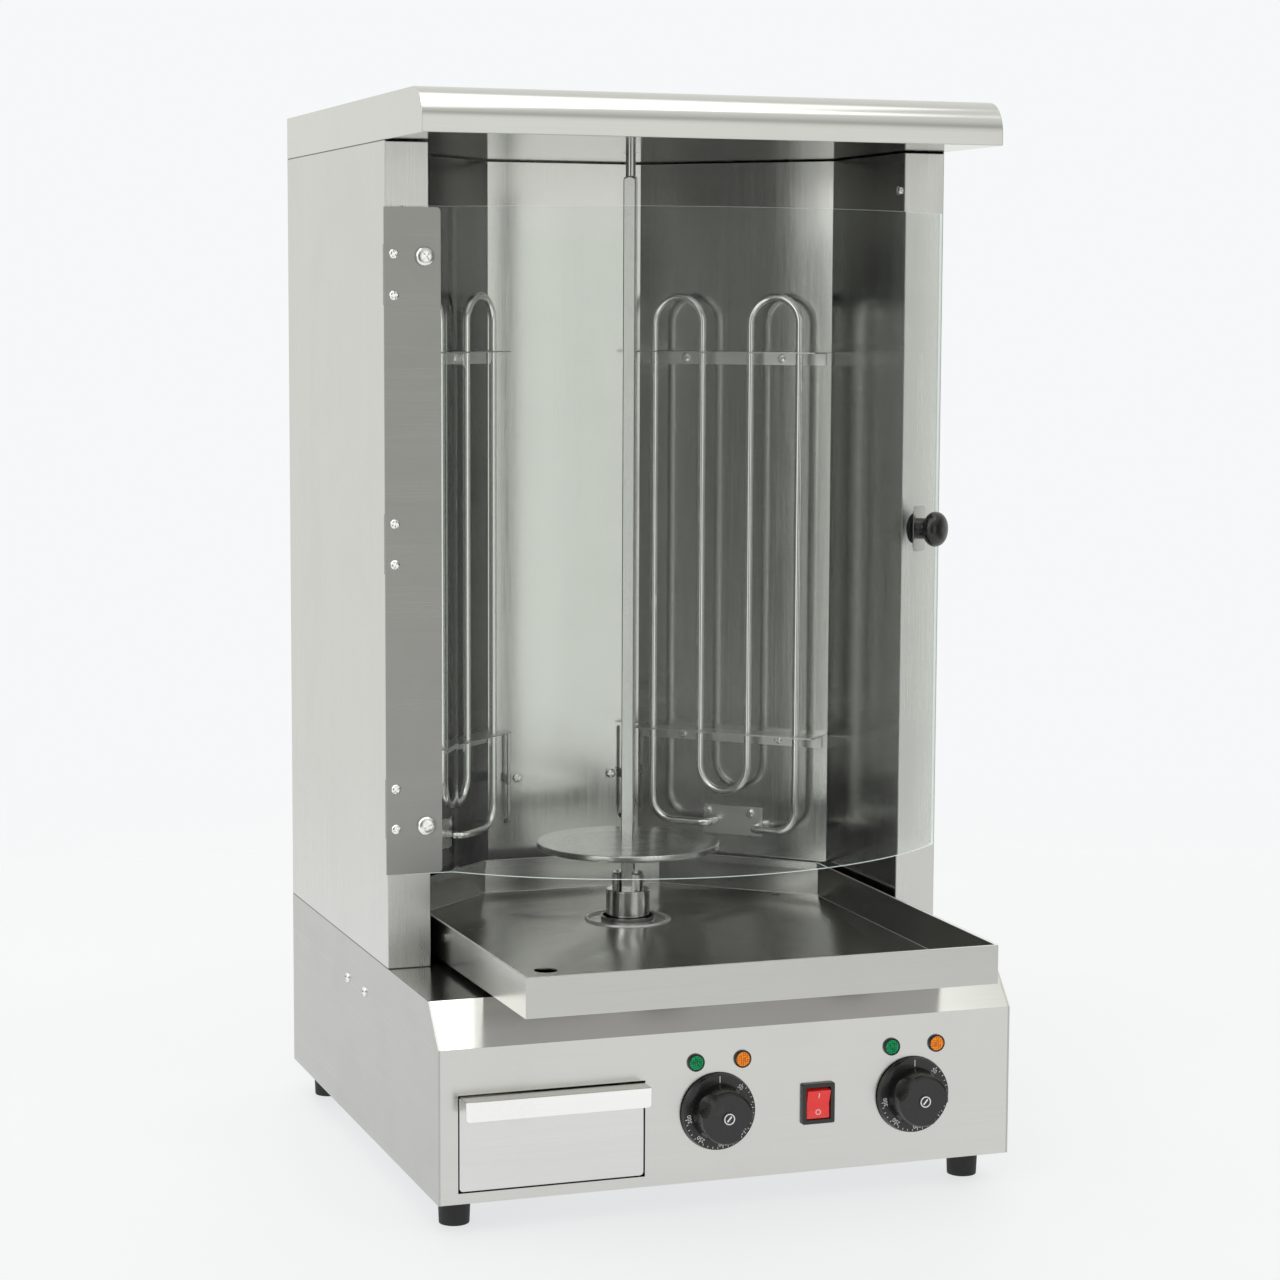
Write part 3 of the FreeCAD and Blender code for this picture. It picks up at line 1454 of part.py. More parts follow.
def casing_screws():
    """The pan-head screws of the base's sides."""
    return Part.makeCompound([casing_screw(point, outward) for point, outward in side_screw_points()])


def ceiling_screw(point, clearance):
    """A flush screw in the ceiling plate, or its hole where a clearance is given."""
    head = Part.makeCone(ceiling_screw_head_radius + clearance, screw_shank_radius + clearance, sheet, point)
    return joined([head, rod(screw_shank_radius + clearance, point, UP, screw_shank_length)])


def ceiling_screws():
    """The flush screws seen from below in the ceiling."""
    return Part.makeCompound([ceiling_screw(point, 0.0) for point in ceiling_screw_points()])


def chamber_screws():
    """The pan-head screws of the heater brackets, terminal plates, bulb clips and chamber sides."""
    return Part.makeCompound([casing_screw(point, outward)
                              for point,
                              outward in heater_screw_points() + bulb_screw_points() + wall_screw_points()])


def build():
    """Every piece under its own name."""
    return {
        "base_floor": base_floor(),
        "base_side_left": base_side(-1),
        "base_side_right": base_side(1),
        "front_panel": front_panel(),
        "base_top_cover": base_top_cover(),
        "base_back_panel": base_back_panel(),
        "rubber_feet": rubber_feet(),
        "foot_screws": foot_screws(),
        "casing_screws": casing_screws(),
        "ceiling_screws": ceiling_screws(),
        "motor_bracket": motor_bracket(),
        "gear_motor": gear_motor(),
        "motor_shaft": motor_shaft(),
        "drive_hub": drive_hub(),
        "spit": spit(),
        "meat_plate": meat_plate(),
        "plate_pin": plate_pin(),
        "drip_tray": drip_tray(),
        "drawer_box": drawer_box(),
        "drawer_front": drawer_front(),
        "drawer_runners": drawer_runners(),
        "thermostats": thermostats(),
        "spindle_left": spindle(dial_left_x),
        "spindle_right": spindle(dial_right_x),
        "dial_left": dial(dial_left_x),
        "dial_right": dial(dial_right_x),
        "lamps_green": lamp_pair(lamp_green_offset),
        "lamps_amber": lamp_pair(lamp_amber_offset),
        "switch_housing": switch_housing(),
        "switch_rocker": switch_rocker(),
        "terminal_block": terminal_block(),
        "cable_gland": cable_gland(),
        "housing_left": housing_side(-1),
        "housing_right": housing_side(1),
        "housing_back": housing_back(),
        "chamber_side_left": chamber_side(-1),
        "chamber_side_right": chamber_side(1),
        "heater_panel_left": heater_panel(-1),
        "heater_panel_right": heater_panel(1),
        "chamber_back_panel": chamber_back_panel(),
        "ceiling_plate": ceiling_plate(),
        "roof_cap": roof_cap(),
        "spit_bearing": spit_bearing(),
        "heaters": heaters(),
        "heater_brackets": heater_brackets(),
        "terminal_plates": terminal_plates(),
        "chamber_screws": chamber_screws(),
        "thermostat_bulbs": thermostat_bulbs(),
        "bulb_clips": bulb_clips(),
        "door_glass": door_glass(),
        "hinge_plate": hinge_plate(),
        "hinge_leaves_door": hinge_leaves_door(),
        "hinge_leaves_frame": hinge_leaves_frame(),
        "hinge_pins": hinge_pins(),
        "hinge_screws": hinge_screws(),
        "glass_screws": glass_screws(),
        "door_knob": door_knob(),
        "knob_plate": knob_plate(),
        "knob_washer": knob_washer(),
        "knob_screw": knob_screw(),
    }


os.makedirs("parts", exist_ok=True)
for name, shape in build().items():
    shape.exportStep("parts/" + name + ".step")
    print(name, "solids", len(shape.Solids), "valid", shape.isValid(), "volume", round(shape.Volume))
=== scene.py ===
import json
import logging
import math
from collections.abc import Sequence
from dataclasses import dataclass, field, replace
from enum import Enum
from functools import cache

import bmesh
import bpy
import numpy as np
from mathutils import Matrix, Quaternion, Vector

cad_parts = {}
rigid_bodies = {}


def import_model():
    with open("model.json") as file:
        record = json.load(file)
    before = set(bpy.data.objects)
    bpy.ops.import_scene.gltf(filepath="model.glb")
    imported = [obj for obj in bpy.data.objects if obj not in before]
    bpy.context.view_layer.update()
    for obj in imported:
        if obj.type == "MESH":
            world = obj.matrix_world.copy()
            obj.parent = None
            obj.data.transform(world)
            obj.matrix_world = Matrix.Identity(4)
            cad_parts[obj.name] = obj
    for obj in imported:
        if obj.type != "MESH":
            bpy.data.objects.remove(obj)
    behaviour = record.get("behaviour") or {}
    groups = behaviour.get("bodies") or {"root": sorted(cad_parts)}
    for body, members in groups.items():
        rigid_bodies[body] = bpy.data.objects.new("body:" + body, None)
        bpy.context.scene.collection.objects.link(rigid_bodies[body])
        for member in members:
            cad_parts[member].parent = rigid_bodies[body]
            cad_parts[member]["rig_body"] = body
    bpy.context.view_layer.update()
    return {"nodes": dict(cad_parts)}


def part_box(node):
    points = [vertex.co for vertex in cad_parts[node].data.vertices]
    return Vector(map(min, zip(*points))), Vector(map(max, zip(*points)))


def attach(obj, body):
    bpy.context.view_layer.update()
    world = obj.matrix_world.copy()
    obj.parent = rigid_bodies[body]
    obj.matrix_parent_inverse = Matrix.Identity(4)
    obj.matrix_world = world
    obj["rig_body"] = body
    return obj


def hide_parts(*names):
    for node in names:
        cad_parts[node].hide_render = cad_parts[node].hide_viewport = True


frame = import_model()

MM = 0.001
LOG = logging.getLogger("spit_grill")
UP = Vector((0, 0, 1))
FORWARD = Vector((0, -1, 0))
SOFT_EDGE = math.radians(32)
INNER_CORNER = math.radians(70)
FLAT_ENOUGH = math.radians(0.6)
SAME_POINT = 0.000002
WIDEST_SHARE = 0.97
BEVEL_STEPS = 2
LETTER_STEPS = 3
DUST_ON_STEEL = (0.55, 0.53, 0.5, 1.0)
DUST_ON_PLASTIC = (0.35, 0.34, 0.32, 1.0)
# painted shade: the colour of the shadow in the joint between two panels
SEAM_SHADOW = (0.02, 0.02, 0.018, 1.0)
GRAIN_DEPTH = 0.04 * MM
PORE_DEPTH = 0.08 * MM

Value = bpy.types.NodeSocket | float | tuple


# ---------------------------------------------------------------- node trees
class Desk:
    """Adds nodes to a node tree and joins their sockets."""

    def __init__(self, tree: bpy.types.NodeTree) -> None:
        """Takes the tree to work on."""
        self.tree = tree

    def add(self, kind: str, inputs: dict | None = None, **settings: object) -> bpy.types.Node:
        """Adds one node.

        Args:
            kind: the node's type name.
            inputs: values, or sockets to join, by input name or number.
            settings: the node's own properties.

        Returns:
            The new node.
        """
        node = self.tree.nodes.new(kind)
        for name, value in settings.items():
            setattr(node, name, value)
        self.feed_all(node, inputs or {})
        return node

    def feed_all(self, node: bpy.types.Node, inputs: dict) -> None:
        """Feeds several inputs of a node, by name or number."""
        for key, value in inputs.items():
            self.feed(node.inputs[key], value)

    def feed(self, socket: bpy.types.NodeSocket, value: Value) -> None:
        """Joins a socket to an input, or sets the input's value.

        Args:
            socket: the input.
            value: the output to join to it, or a plain value.
        """
        if isinstance(value, bpy.types.NodeSocket):
            self.tree.links.new(value, socket)
        else:
            socket.default_value = value

    def sum(self, operation: str, first: Value, second: Value = 0.0) -> bpy.types.NodeSocket:
        """A Math node's result for the named operation."""
        return self.add("ShaderNodeMath", {0: first, 1: second}, operation=operation).outputs[0]

    def total(self, *values: Value) -> bpy.types.NodeSocket:
        """The sum of two or more values.

        Args:
            values: numbers or sockets.

        Returns:
            The socket with their sum.
        """
        whole = values[0]
        for value in values[1:]:
            whole = self.sum("ADD", whole, value)
        return whole

    def scaled(self, value: Value, low: float, high: float, to_low: float = 0.0,
               to_high: float = 1.0) -> bpy.types.NodeSocket:
        """A value moved smoothly from one range to another."""
        inputs = {"Value": value, "From Min": low, "From Max": high, "To Min": to_low, "To Max": to_high}
        return self.add("ShaderNodeMapRange", inputs, interpolation_type="SMOOTHSTEP").outputs[0]

    def tinted(self, share: Value, first: Value, second: Value) -> bpy.types.NodeSocket:
        """A colour mixed from two by a share."""
        return self.add("ShaderNodeMix", {0: share, 6: first, 7: second}, data_type="RGBA").outputs[2]

    def vector(self, operation: str, first: Value, second: tuple = (0, 0, 0)) -> bpy.types.Node:
        """A Vector Math node for the named operation."""
        return self.add("ShaderNodeVectorMath", {0: first, 1: second}, operation=operation)

    def parts(self, vector: Value) -> bpy.types.bpy_prop_collection:
        """The three parts of a vector as sockets."""
        return self.add("ShaderNodeSeparateXYZ", {0: vector}).outputs

    def joined(self, x: Value = 0.0, y: Value = 0.0, z: Value = 0.0) -> bpy.types.NodeSocket:
        """A vector from its three parts."""
        return self.add("ShaderNodeCombineXYZ", {0: x, 1: y, 2: z}).outputs[0]

    def noise(self, place: Value, scale: Value, detail: float, **more: float) -> bpy.types.NodeSocket:
        """A Noise texture; more names its other inputs, such as Roughness."""
        inputs = {"Vector": place, "Scale": scale, "Detail": detail, **more}
        return self.add("ShaderNodeTexNoise", inputs).outputs[0]

    def bump(self, height: Value, strength: float, depth: float, **settings: object) -> bpy.types.NodeSocket:
        """The normal of a surface with a height pattern."""
        inputs = {"Strength": strength, "Distance": depth, "Height": height}
        return self.add("ShaderNodeBump", inputs, **settings).outputs[0]

    def effect(self, group: bpy.types.NodeTree, **inputs: Value) -> bpy.types.bpy_prop_collection:
        """Places a shared effect with its own values and gives its outputs."""
        return self.add("ShaderNodeGroup", inputs, node_tree=group).outputs


def effect_group(name: str, inputs: dict[str, object], outputs: list[str]) -> tuple:
    """Starts a shader node group for an effect that several finishes share.

    Args:
        name: the group's name.
        inputs: each input's name and default, a number or a vector.
        outputs: the names of the float outputs.

    Returns:
        The group, a desk on it, its input sockets and its output node.
    """
    group = bpy.data.node_groups.new(name, "ShaderNodeTree")
    for label, default in inputs.items():
        kind = "NodeSocketVector" if isinstance(default, tuple) else "NodeSocketFloat"
        socket = group.interface.new_socket(label, in_out="INPUT", socket_type=kind)
        socket.default_value = default
    for label in outputs:
        group.interface.new_socket(label, in_out="OUTPUT", socket_type="NodeSocketFloat")
    desk = Desk(group)
    return group, desk, desk.add("NodeGroupInput").outputs, desk.add("NodeGroupOutput")


@cache
def drawn_grain() -> bpy.types.NodeTree:
    """Fine drawn lines and broad bands along one direction.

    Returns:
        The effect's group.
    """
    band_share = 0.06
    group, desk, source, result = effect_group(
        "drawn_grain", {"Place": (0.0, 0.0, 0.0), "Stretch": (1.0, 1.0, 1.0), "Fineness": 900.0},
        ["Lines", "Bands"])
    along = desk.vector("MULTIPLY", source["Place"], source["Stretch"]).outputs[0]
    band_scale = desk.sum("MULTIPLY", source["Fineness"], band_share)
    desk.feed_all(result, {"Lines": desk.noise(along, source["Fineness"], 5.0, Roughness=0.65),
                           "Bands": desk.noise(along, band_scale, 2.0)})
    return group


@cache
def hand_marks() -> bpy.types.NodeTree:
    """Cloudy hand marks and wiping traces.

    Returns:
        The effect's group.
    """
    faint, full = 0.42, 0.72
    group, desk, source, result = effect_group(
        "hand_marks", {"Place": (0.0, 0.0, 0.0), "Size": 9.0}, ["Marks"])
    cloud = desk.noise(source["Place"], source["Size"], 4.0, Roughness=0.6, Distortion=0.8)
    desk.feed(result.inputs["Marks"], desk.scaled(cloud, faint, full))
    return group


@cache
def settled_dust() -> bpy.types.NodeTree:
    """Thin dust that lies on faces turned upwards.

    Returns:
        The effect's group.
    """
    slope, level, speck_scale = 0.75, 1.0, 260.0
    group, desk, source, result = effect_group(
        "settled_dust", {"Place": (0.0, 0.0, 0.0), "Amount": 0.1}, ["Dust"])
    normal = desk.add("ShaderNodeNewGeometry").outputs["Normal"]
    facing = desk.scaled(desk.parts(normal)[2], slope, level)
    speck = desk.noise(source["Place"], speck_scale, 6.0)
    spread = desk.sum("MULTIPLY", facing, desk.scaled(speck, 0.35, 0.75))
    desk.feed(result.inputs["Dust"], desk.sum("MULTIPLY", spread, source["Amount"]))
    return group


@cache
def edge_wear() -> bpy.types.NodeTree:
    """A mask for corners and rims that hands and cloths rub.

    Returns:
        The effect's group.
    """
    blunt, sharp, patch_scale = 0.52, 0.6, 120.0
    group, desk, source, result = effect_group(
        "edge_wear", {"Place": (0.0, 0.0, 0.0), "Amount": 0.5}, ["Wear"])
    rim = desk.scaled(desk.add("ShaderNodeNewGeometry").outputs["Pointiness"], blunt, sharp)
    patch = desk.noise(source["Place"], patch_scale, 4.0)
    patchy = desk.sum("MULTIPLY", rim, desk.scaled(patch, 0.35, 0.65))
    desk.feed(result.inputs["Wear"], desk.sum("MULTIPLY", patchy, source["Amount"]))
    return group


def shade(colour: tuple, factor: float = 1.0) -> tuple:
    """An RGBA colour made lighter or darker by a factor."""
    return tuple(min(1.0, part * factor) for part in colour) + (1.0,)


def blank_material(name: str) -> tuple:
    """A new material with only its output and Principled shader.

    Args:
        name: the material's name.

    Returns:
        The material, a desk on its tree, the shader and the Object coordinates.
    """
    material = bpy.data.materials.new(name)
    material.use_nodes = True
    desk = Desk(material.node_tree)
    shader = material.node_tree.nodes["Principled BSDF"]
    return material, desk, shader, desk.add("ShaderNodeTexCoord").outputs["Object"]


# ---------------------------------------------------------------- finishes
MATERIALS: dict[str, bpy.types.Material] = {}


@dataclass(frozen=True)
class Finish:
    """A finish whose material is made once and shared by all that wear it."""

    name: str

    def material(self) -> bpy.types.Material:
        """Makes the material when it is first asked for.

        Returns:
            The material.
        """
        if self.name not in MATERIALS:
            MATERIALS[self.name], desk, shader, place = blank_material(self.name)
            desk.feed_all(shader, self.sockets(desk, place))
        return MATERIALS[self.name]

    def sockets(self, desk: Desk, place: bpy.types.NodeSocket) -> dict[str, Value]:
        """What the shader's sockets get, by name; each kind of finish has its own.

        Args:
            desk: the desk on the material's tree.
            place: the Object coordinates.

        Returns:
            Sockets or plain values by the shader's input names.
        """
        raise NotImplementedError(self.name)


class Grain(Enum):
    """The way a sheet or bar was brushed, as a stretch of the pattern."""

    ACROSS = (0.012, 1.0, 1.0)
    DEPTH = (1.0, 0.012, 1.0)
    UPRIGHT = (1.0, 1.0, 0.012)
    ROUND = (0.02, 0.02, 1.0)
    NONE = (0.3, 0.3, 0.3)


@dataclass(frozen=True)
class SteelFinish(Finish):
    """Stainless steel or another bare metal with a drawn grain.

    tones are the shares of the colour between which the grain varies, line_share is how much
    of the grain is fine lines, and the marked_ and dusty_ fields say what marks and dust add.
    seams lists the heights in metres at which a painted shade line runs round, standing for the
    shadow in the joint between two panels; seam_core and seam_edge are its half widths in millimetres,
    where it is full and where it ends.
    """

    colour: tuple = (0.62, 0.615, 0.60)
    roughness: float = 0.30
    spread: float = 0.06
    grain: Grain = Grain.ACROSS
    fineness: float = 900.0
    bump: float = 0.03
    marks: float = 0.05
    dust: float = 0.04
    tones: tuple = (0.975, 1.02)
    line_share: float = 0.65
    marked_tone: float = 0.82
    marked_roughness: float = 0.6
    dusty_roughness: float = 0.8
    seams: tuple = ()
    seam_core: float = 0.5
    seam_edge: float = 1.1
    seam_strength: float = 0.85

    def sockets(self, desk: Desk, place: bpy.types.NodeSocket) -> dict[str, Value]:
        """Grain, hand marks, dust and painted seam shadows.

        Args:
            desk: the desk on the material's tree.
            place: the Object coordinates.

        Returns:
            Sockets or plain values by the shader's input names.
        """
        grain = desk.effect(drawn_grain(), Place=place, Stretch=self.grain.value, Fineness=self.fineness)
        lines, bands = grain["Lines"], grain["Bands"]
        marks = desk.effect(hand_marks(), Place=place)["Marks"]
        dust = desk.effect(settled_dust(), Place=place, Amount=self.dust)["Dust"]
        drawn = desk.total(desk.sum("MULTIPLY", lines, self.line_share),
                           desk.sum("MULTIPLY", bands, 1.0 - self.line_share))
        low, high = (shade(self.colour, tone) for tone in self.tones)
        bare = desk.tinted(desk.scaled(drawn, 0.3, 0.7), low, high)
        handled = desk.tinted(desk.sum("MULTIPLY", marks, self.marks), bare,
                              shade(self.colour, self.marked_tone))
        colour = desk.tinted(dust, handled, DUST_ON_STEEL)
        # painted shade: a dark line at each seam height stands for the shadow in the joint
        for level in self.seams:
            away = desk.sum("ABSOLUTE", desk.sum("SUBTRACT", desk.parts(place)[2], level))
            shadow = desk.scaled(away, self.seam_core * MM, self.seam_edge * MM, self.seam_strength, 0.0)
            colour = desk.tinted(shadow, colour, SEAM_SHADOW)
        rough = desk.scaled(drawn, 0.25, 0.75, self.roughness - self.spread, self.roughness + self.spread)
        rubbed = desk.sum("MULTIPLY", marks, self.marks * self.marked_roughness)
        powdered = desk.sum("MULTIPLY", dust, self.dusty_roughness)
        return {"Base Color": colour,
                "Roughness": desk.total(rough, rubbed, powdered),
                "Metallic": desk.sum("SUBTRACT", 1.0, dust),
                "Normal": desk.bump(lines, self.bump, GRAIN_DEPTH)}


@dataclass(frozen=True)
class TurnedFinish(Finish):
    """Steel faced on a lathe: fine rings about a vertical axis through centre."""

    centre: tuple
    colour: tuple = (0.6, 0.595, 0.58)
    roughness: float = 0.22
    ring_scale: float = 1800.0
    ring_bump: float = 0.12
    tones: tuple = (0.9, 1.08)
    spread: tuple = (-0.05, 0.07)
    marks: float = 0.2
    mark_size: float = 22.0
    marked_tone: float = 0.7

    def sockets(self, desk: Desk, place: bpy.types.NodeSocket) -> dict[str, Value]:
        """Rings and hand marks.

        Args:
            desk: the desk on the material's tree.
            place: the Object coordinates.

        Returns:
            Sockets or plain values by the shader's input names.
        """
        centred = desk.vector("SUBTRACT", place, (*self.centre, 0.0)).outputs[0]
        flat = desk.vector("MULTIPLY", centred, (1.0, 1.0, 0.0)).outputs[0]
        radius = desk.vector("LENGTH", flat).outputs["Value"]
        rings = desk.noise(desk.joined(radius), self.ring_scale, 4.0)
        marks = desk.effect(hand_marks(), Place=place, Size=self.mark_size)["Marks"]
        bare = desk.tinted(rings, *(shade(self.colour, tone) for tone in self.tones))
        handled = desk.sum("MULTIPLY", marks, self.marks)
        return {"Base Color": desk.tinted(handled, bare, shade(self.colour, self.marked_tone)),
                "Roughness": desk.scaled(rings, 0.3, 0.7, *(self.roughness + step for step in self.spread)),
                "Metallic": 1.0,
                "Normal": desk.bump(rings, self.ring_bump, GRAIN_DEPTH)}


@dataclass(frozen=True)
class MouldedFinish(Finish):
    """Plastic, rubber, paint or ink with a fine moulded texture."""

    colour: tuple = (0.012, 0.012, 0.013)
    worn: tuple = (0.06, 0.06, 0.06)
    roughness: float = 0.35
    texture: float = 1500.0
    bump: float = 0.12
    wear: float = 0.5
    dust: float = 0.08
    coat: float = 0.0
    glow: float = 0.0
    tones: tuple = (0.85, 1.15)
    spread: tuple = (-0.04, 0.06)
    mark_size: float = 40.0
    marked_roughness: float = 0.08

    def sockets(self, desk: Desk, place: bpy.types.NodeSocket) -> dict[str, Value]:
        """Pores, hand marks, rubbed edges and dust.

        Args:
            desk: the desk on the material's tree.
            place: the Object coordinates.

        Returns:
            Sockets or plain values by the shader's input names.
        """
        pores = desk.noise(place, self.texture, 3.0)
        marks = desk.effect(hand_marks(), Place=place, Size=self.mark_size)["Marks"]
        wear = desk.effect(edge_wear(), Place=place, Amount=self.wear)["Wear"]
        dust = desk.effect(settled_dust(), Place=place, Amount=self.dust)["Dust"]
        base = desk.tinted(pores, *(shade(self.colour, tone) for tone in self.tones))
        rough = desk.scaled(pores, 0.3, 0.7, *(self.roughness + step for step in self.spread))
        found = {"Base Color": desk.tinted(dust, desk.tinted(wear, base, shade(self.worn)), DUST_ON_PLASTIC),
                 "Roughness": desk.total(rough, desk.sum("MULTIPLY", marks, self.marked_roughness)),
                 "Normal": desk.bump(pores, self.bump, PORE_DEPTH),
                 "Coat Weight": self.coat}
        if self.glow:
            found |= {"Emission Color": base, "Emission Strength": self.glow}
        return found


@dataclass(frozen=True)
class LensFinish(Finish):
    """The coloured pressed lens of a small lamp, with a faceted inside."""

    deep: tuple
    bright: tuple
    facet_scale: float = 620.0
    facet_depth: float = 0.3
    disorder: float = 0.25
    glow: float = 0.55

    def sockets(self, desk: Desk, place: bpy.types.NodeSocket) -> dict[str, Value]:
        """Facets from deep to bright.

        Args:
            desk: the desk on the material's tree.
            place: the Object coordinates.

        Returns:
            Sockets or plain values by the shader's input names.
        """
        facets = desk.add("ShaderNodeTexVoronoi", {"Vector": place, "Scale": self.facet_scale,
                                                   "Randomness": self.disorder})
        near = desk.scaled(facets.outputs["Distance"], 0.1, 0.75)
        colour = desk.tinted(near, shade(self.bright), shade(self.deep))
        return {"Base Color": colour, "Emission Color": colour, "Emission Strength": self.glow,
                "Roughness": desk.scaled(near, 0.0, 1.0, 0.12, 0.3),
                "Normal": desk.bump(near, 0.5, self.facet_depth * MM, invert=True),
                "Specular IOR Level": 0.2}


@dataclass(frozen=True)
class GlassFinish(Finish):
    """Clear toughened glass, or its ground edge, whose glow is a painted highlight."""

    colour: tuple = (0.965, 0.985, 0.975)
    roughness: float = 0.0
    clearness: float = 1.0
    glow: float = 0.0
    bending: float = 1.28
    mark_size: float = 6.0
    marked_tone: float = 0.985

    def sockets(self, desk: Desk, place: bpy.types.NodeSocket) -> dict[str, Value]:
        """A clear tint with faint wiping marks, and a glow that is a painted highlight where one is set.

        Args:
            desk: the desk on the material's tree.
            place: the Object coordinates.

        Returns:
            Sockets or plain values by the shader's input names.
        """
        marks = desk.effect(hand_marks(), Place=place, Size=self.mark_size)["Marks"]
        colour = desk.tinted(marks, shade(self.colour), shade(self.colour, self.marked_tone))
        return {"Base Color": colour, "Roughness": self.roughness, "Transmission Weight": self.clearness,
                "IOR": self.bending, "Emission Color": colour, "Emission Strength": self.glow}


PANEL_STEEL = SteelFinish("panel_steel", (0.665, 0.66, 0.635), roughness=0.22, spread=0.04)
ROOF_STEEL = SteelFinish("roof_steel", (0.66, 0.655, 0.635), roughness=0.14, spread=0.02)
CASING_STEEL = SteelFinish("casing_steel", (0.66, 0.655, 0.64), grain=Grain.UPRIGHT)
DECK_STEEL = SteelFinish("deck_steel", (0.64, 0.635, 0.615), roughness=0.15, spread=0.01, bump=0.01,
                         dust=0.02)
DRAWER_STEEL = SteelFinish("drawer_steel", (0.74, 0.735, 0.72), roughness=0.2, spread=0.03)
DRAWER_BOX_STEEL = SteelFinish("drawer_box_steel", grain=Grain.DEPTH)
# painted highlight: a near-white copy of the drawer steel for the rolled lip, which faces the light
LIP_HIGHLIGHT_STEEL = SteelFinish("lip_painted_highlight", (0.97, 0.965, 0.95), roughness=0.25, spread=0.03)
# painted shade: the base sides get a darker steel than the casing, for the dimmer light they reflect
SHADED_BASE_SIDE_STEEL = SteelFinish("shaded_base_side_steel", (0.5, 0.495, 0.48), grain=Grain.DEPTH)
CHAMBER_STEEL = SteelFinish("chamber_steel", (0.67, 0.67, 0.65), roughness=0.17, spread=0.05,
                            grain=Grain.UPRIGHT, bump=0.02)
# painted reflection: a dark copy of the chamber steel for the left heater panel, for the dark surroundings it
# reflects
DARK_REFLECTION_STEEL = replace(CHAMBER_STEEL, name="dark_reflection_steel", colour=(0.22, 0.22, 0.21))
MIRROR_STEEL = SteelFinish("ceiling_steel", (0.6, 0.6, 0.585), roughness=0.1, spread=0.03, bump=0.02)
TRAY_STEEL = SteelFinish("tray_steel", (0.56, 0.555, 0.54), roughness=0.22, spread=0.03, bump=0.015,
                         dust=0.02)
# painted highlight: a near-white copy of the tray steel for the rim and rounded corners
RIM_HIGHLIGHT_STEEL = SteelFinish("rim_painted_highlight", (0.97, 0.965, 0.95), roughness=0.5, spread=0.04)
HINGE_STEEL = SteelFinish("hinge_steel", (0.34, 0.335, 0.325))
ZINC_SHEET = SteelFinish("zinc_sheet", (0.55, 0.56, 0.57), roughness=0.42, grain=Grain.NONE, fineness=300.0,
                         marks=0.2)
HEATER_SHEATH = SteelFinish("heater_tube_steel", (0.93, 0.925, 0.91), roughness=0.17, grain=Grain.UPRIGHT,
                            bump=0.06, marks=0.15)
STRIP_STEEL = SteelFinish("strip_steel", (0.9, 0.895, 0.88), roughness=0.4)
SCREW_CHROME = SteelFinish("screw_chrome", (0.95, 0.95, 0.94), roughness=0.18, spread=0.04, grain=Grain.NONE,
                           bump=0.02)
HUB_CHROME = SteelFinish("hub_chrome", (0.7, 0.7, 0.69), roughness=0.1, spread=0.04, grain=Grain.ROUND,
                         bump=0.06)
SPIT_STEEL = SteelFinish("spit_steel", (0.62, 0.62, 0.61), roughness=0.2, grain=Grain.UPRIGHT)
BRASS = SteelFinish("bearing_brass", (0.68, 0.5, 0.22), roughness=0.28, grain=Grain.ROUND)
BULB_STEEL = SteelFinish("bulb_steel", (0.8, 0.79, 0.77), roughness=0.35, grain=Grain.UPRIGHT, marks=0.2)
BLACK_PLASTIC = MouldedFinish("satin_black", (0.008, 0.008, 0.008), (0.03, 0.03, 0.03), roughness=0.22,
                              coat=0.2, dust=0.02)
BLACK_RUBBER = MouldedFinish("foot_rubber", roughness=0.6, texture=900.0, bump=0.3, dust=0.25)
WHITE_PLASTIC = MouldedFinish("block_white", (0.7, 0.69, 0.66), (0.5, 0.49, 0.46), roughness=0.4)
MOTOR_PAINT = MouldedFinish("motor_paint", (0.22, 0.23, 0.24), (0.4, 0.4, 0.4), roughness=0.45)
WHITE_INK = MouldedFinish("white_ink", (0.9, 0.9, 0.88), (0.4, 0.4, 0.4), roughness=0.5, wear=0.0)
ROCKER_RED = MouldedFinish("rocker_red", (0.72, 0.012, 0.01), (0.8, 0.1, 0.08), roughness=0.22, coat=0.4,
                           glow=0.25)
GREEN_LENS = LensFinish("green_lens", (0.0, 0.06, 0.02), (0.01, 0.36, 0.13))
AMBER_LENS = LensFinish("amber_lens", (0.38, 0.07, 0.004), (0.95, 0.33, 0.03))
CLEAR_GLASS = GlassFinish("pane_glass")
# painted highlight: the ground edge glows to stand for the light the edge catches
GLOWING_GROUND_EDGE = GlassFinish("ground_edge_glow", (0.8, 0.9, 0.86), roughness=0.3, clearness=0.3, glow=0.5)


# ---------------------------------------------------------------- mesh tools
def body_of(node: str) -> str:
    """The body a CAD node rides on."""
    return frame["nodes"][node]["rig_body"]


def coat_node(node: str, finish: Finish) -> None:
    """Gives a CAD node that stays in view its finish.

    Args:
        node: the CAD node.
        finish: the finish it gets.
    """
    slots = frame["nodes"][node].data.materials
    slots.clear()
    slots.append(finish.material())
    LOG.info("finish %s on %s", finish.name, node)


def linked_object(name: str, held: bpy.types.ID) -> bpy.types.Object:
    """An object at the origin.

    Args:
        name: the object's name.
        held: the mesh, curve, lamp or camera that it shows.

    Returns:
        The object, linked to the scene.
    """
    piece = bpy.data.objects.new(name, held)
    bpy.context.scene.collection.objects.link(piece)
    return piece


def smooth(mesh: bpy.types.Mesh, angle: float = SOFT_EDGE) -> None:
    """Shades a mesh smooth but for edges sharper than an angle."""
    mesh.polygons.foreach_set("use_smooth", [True] * len(mesh.polygons))
    mesh.set_sharp_from_angle(angle=angle)


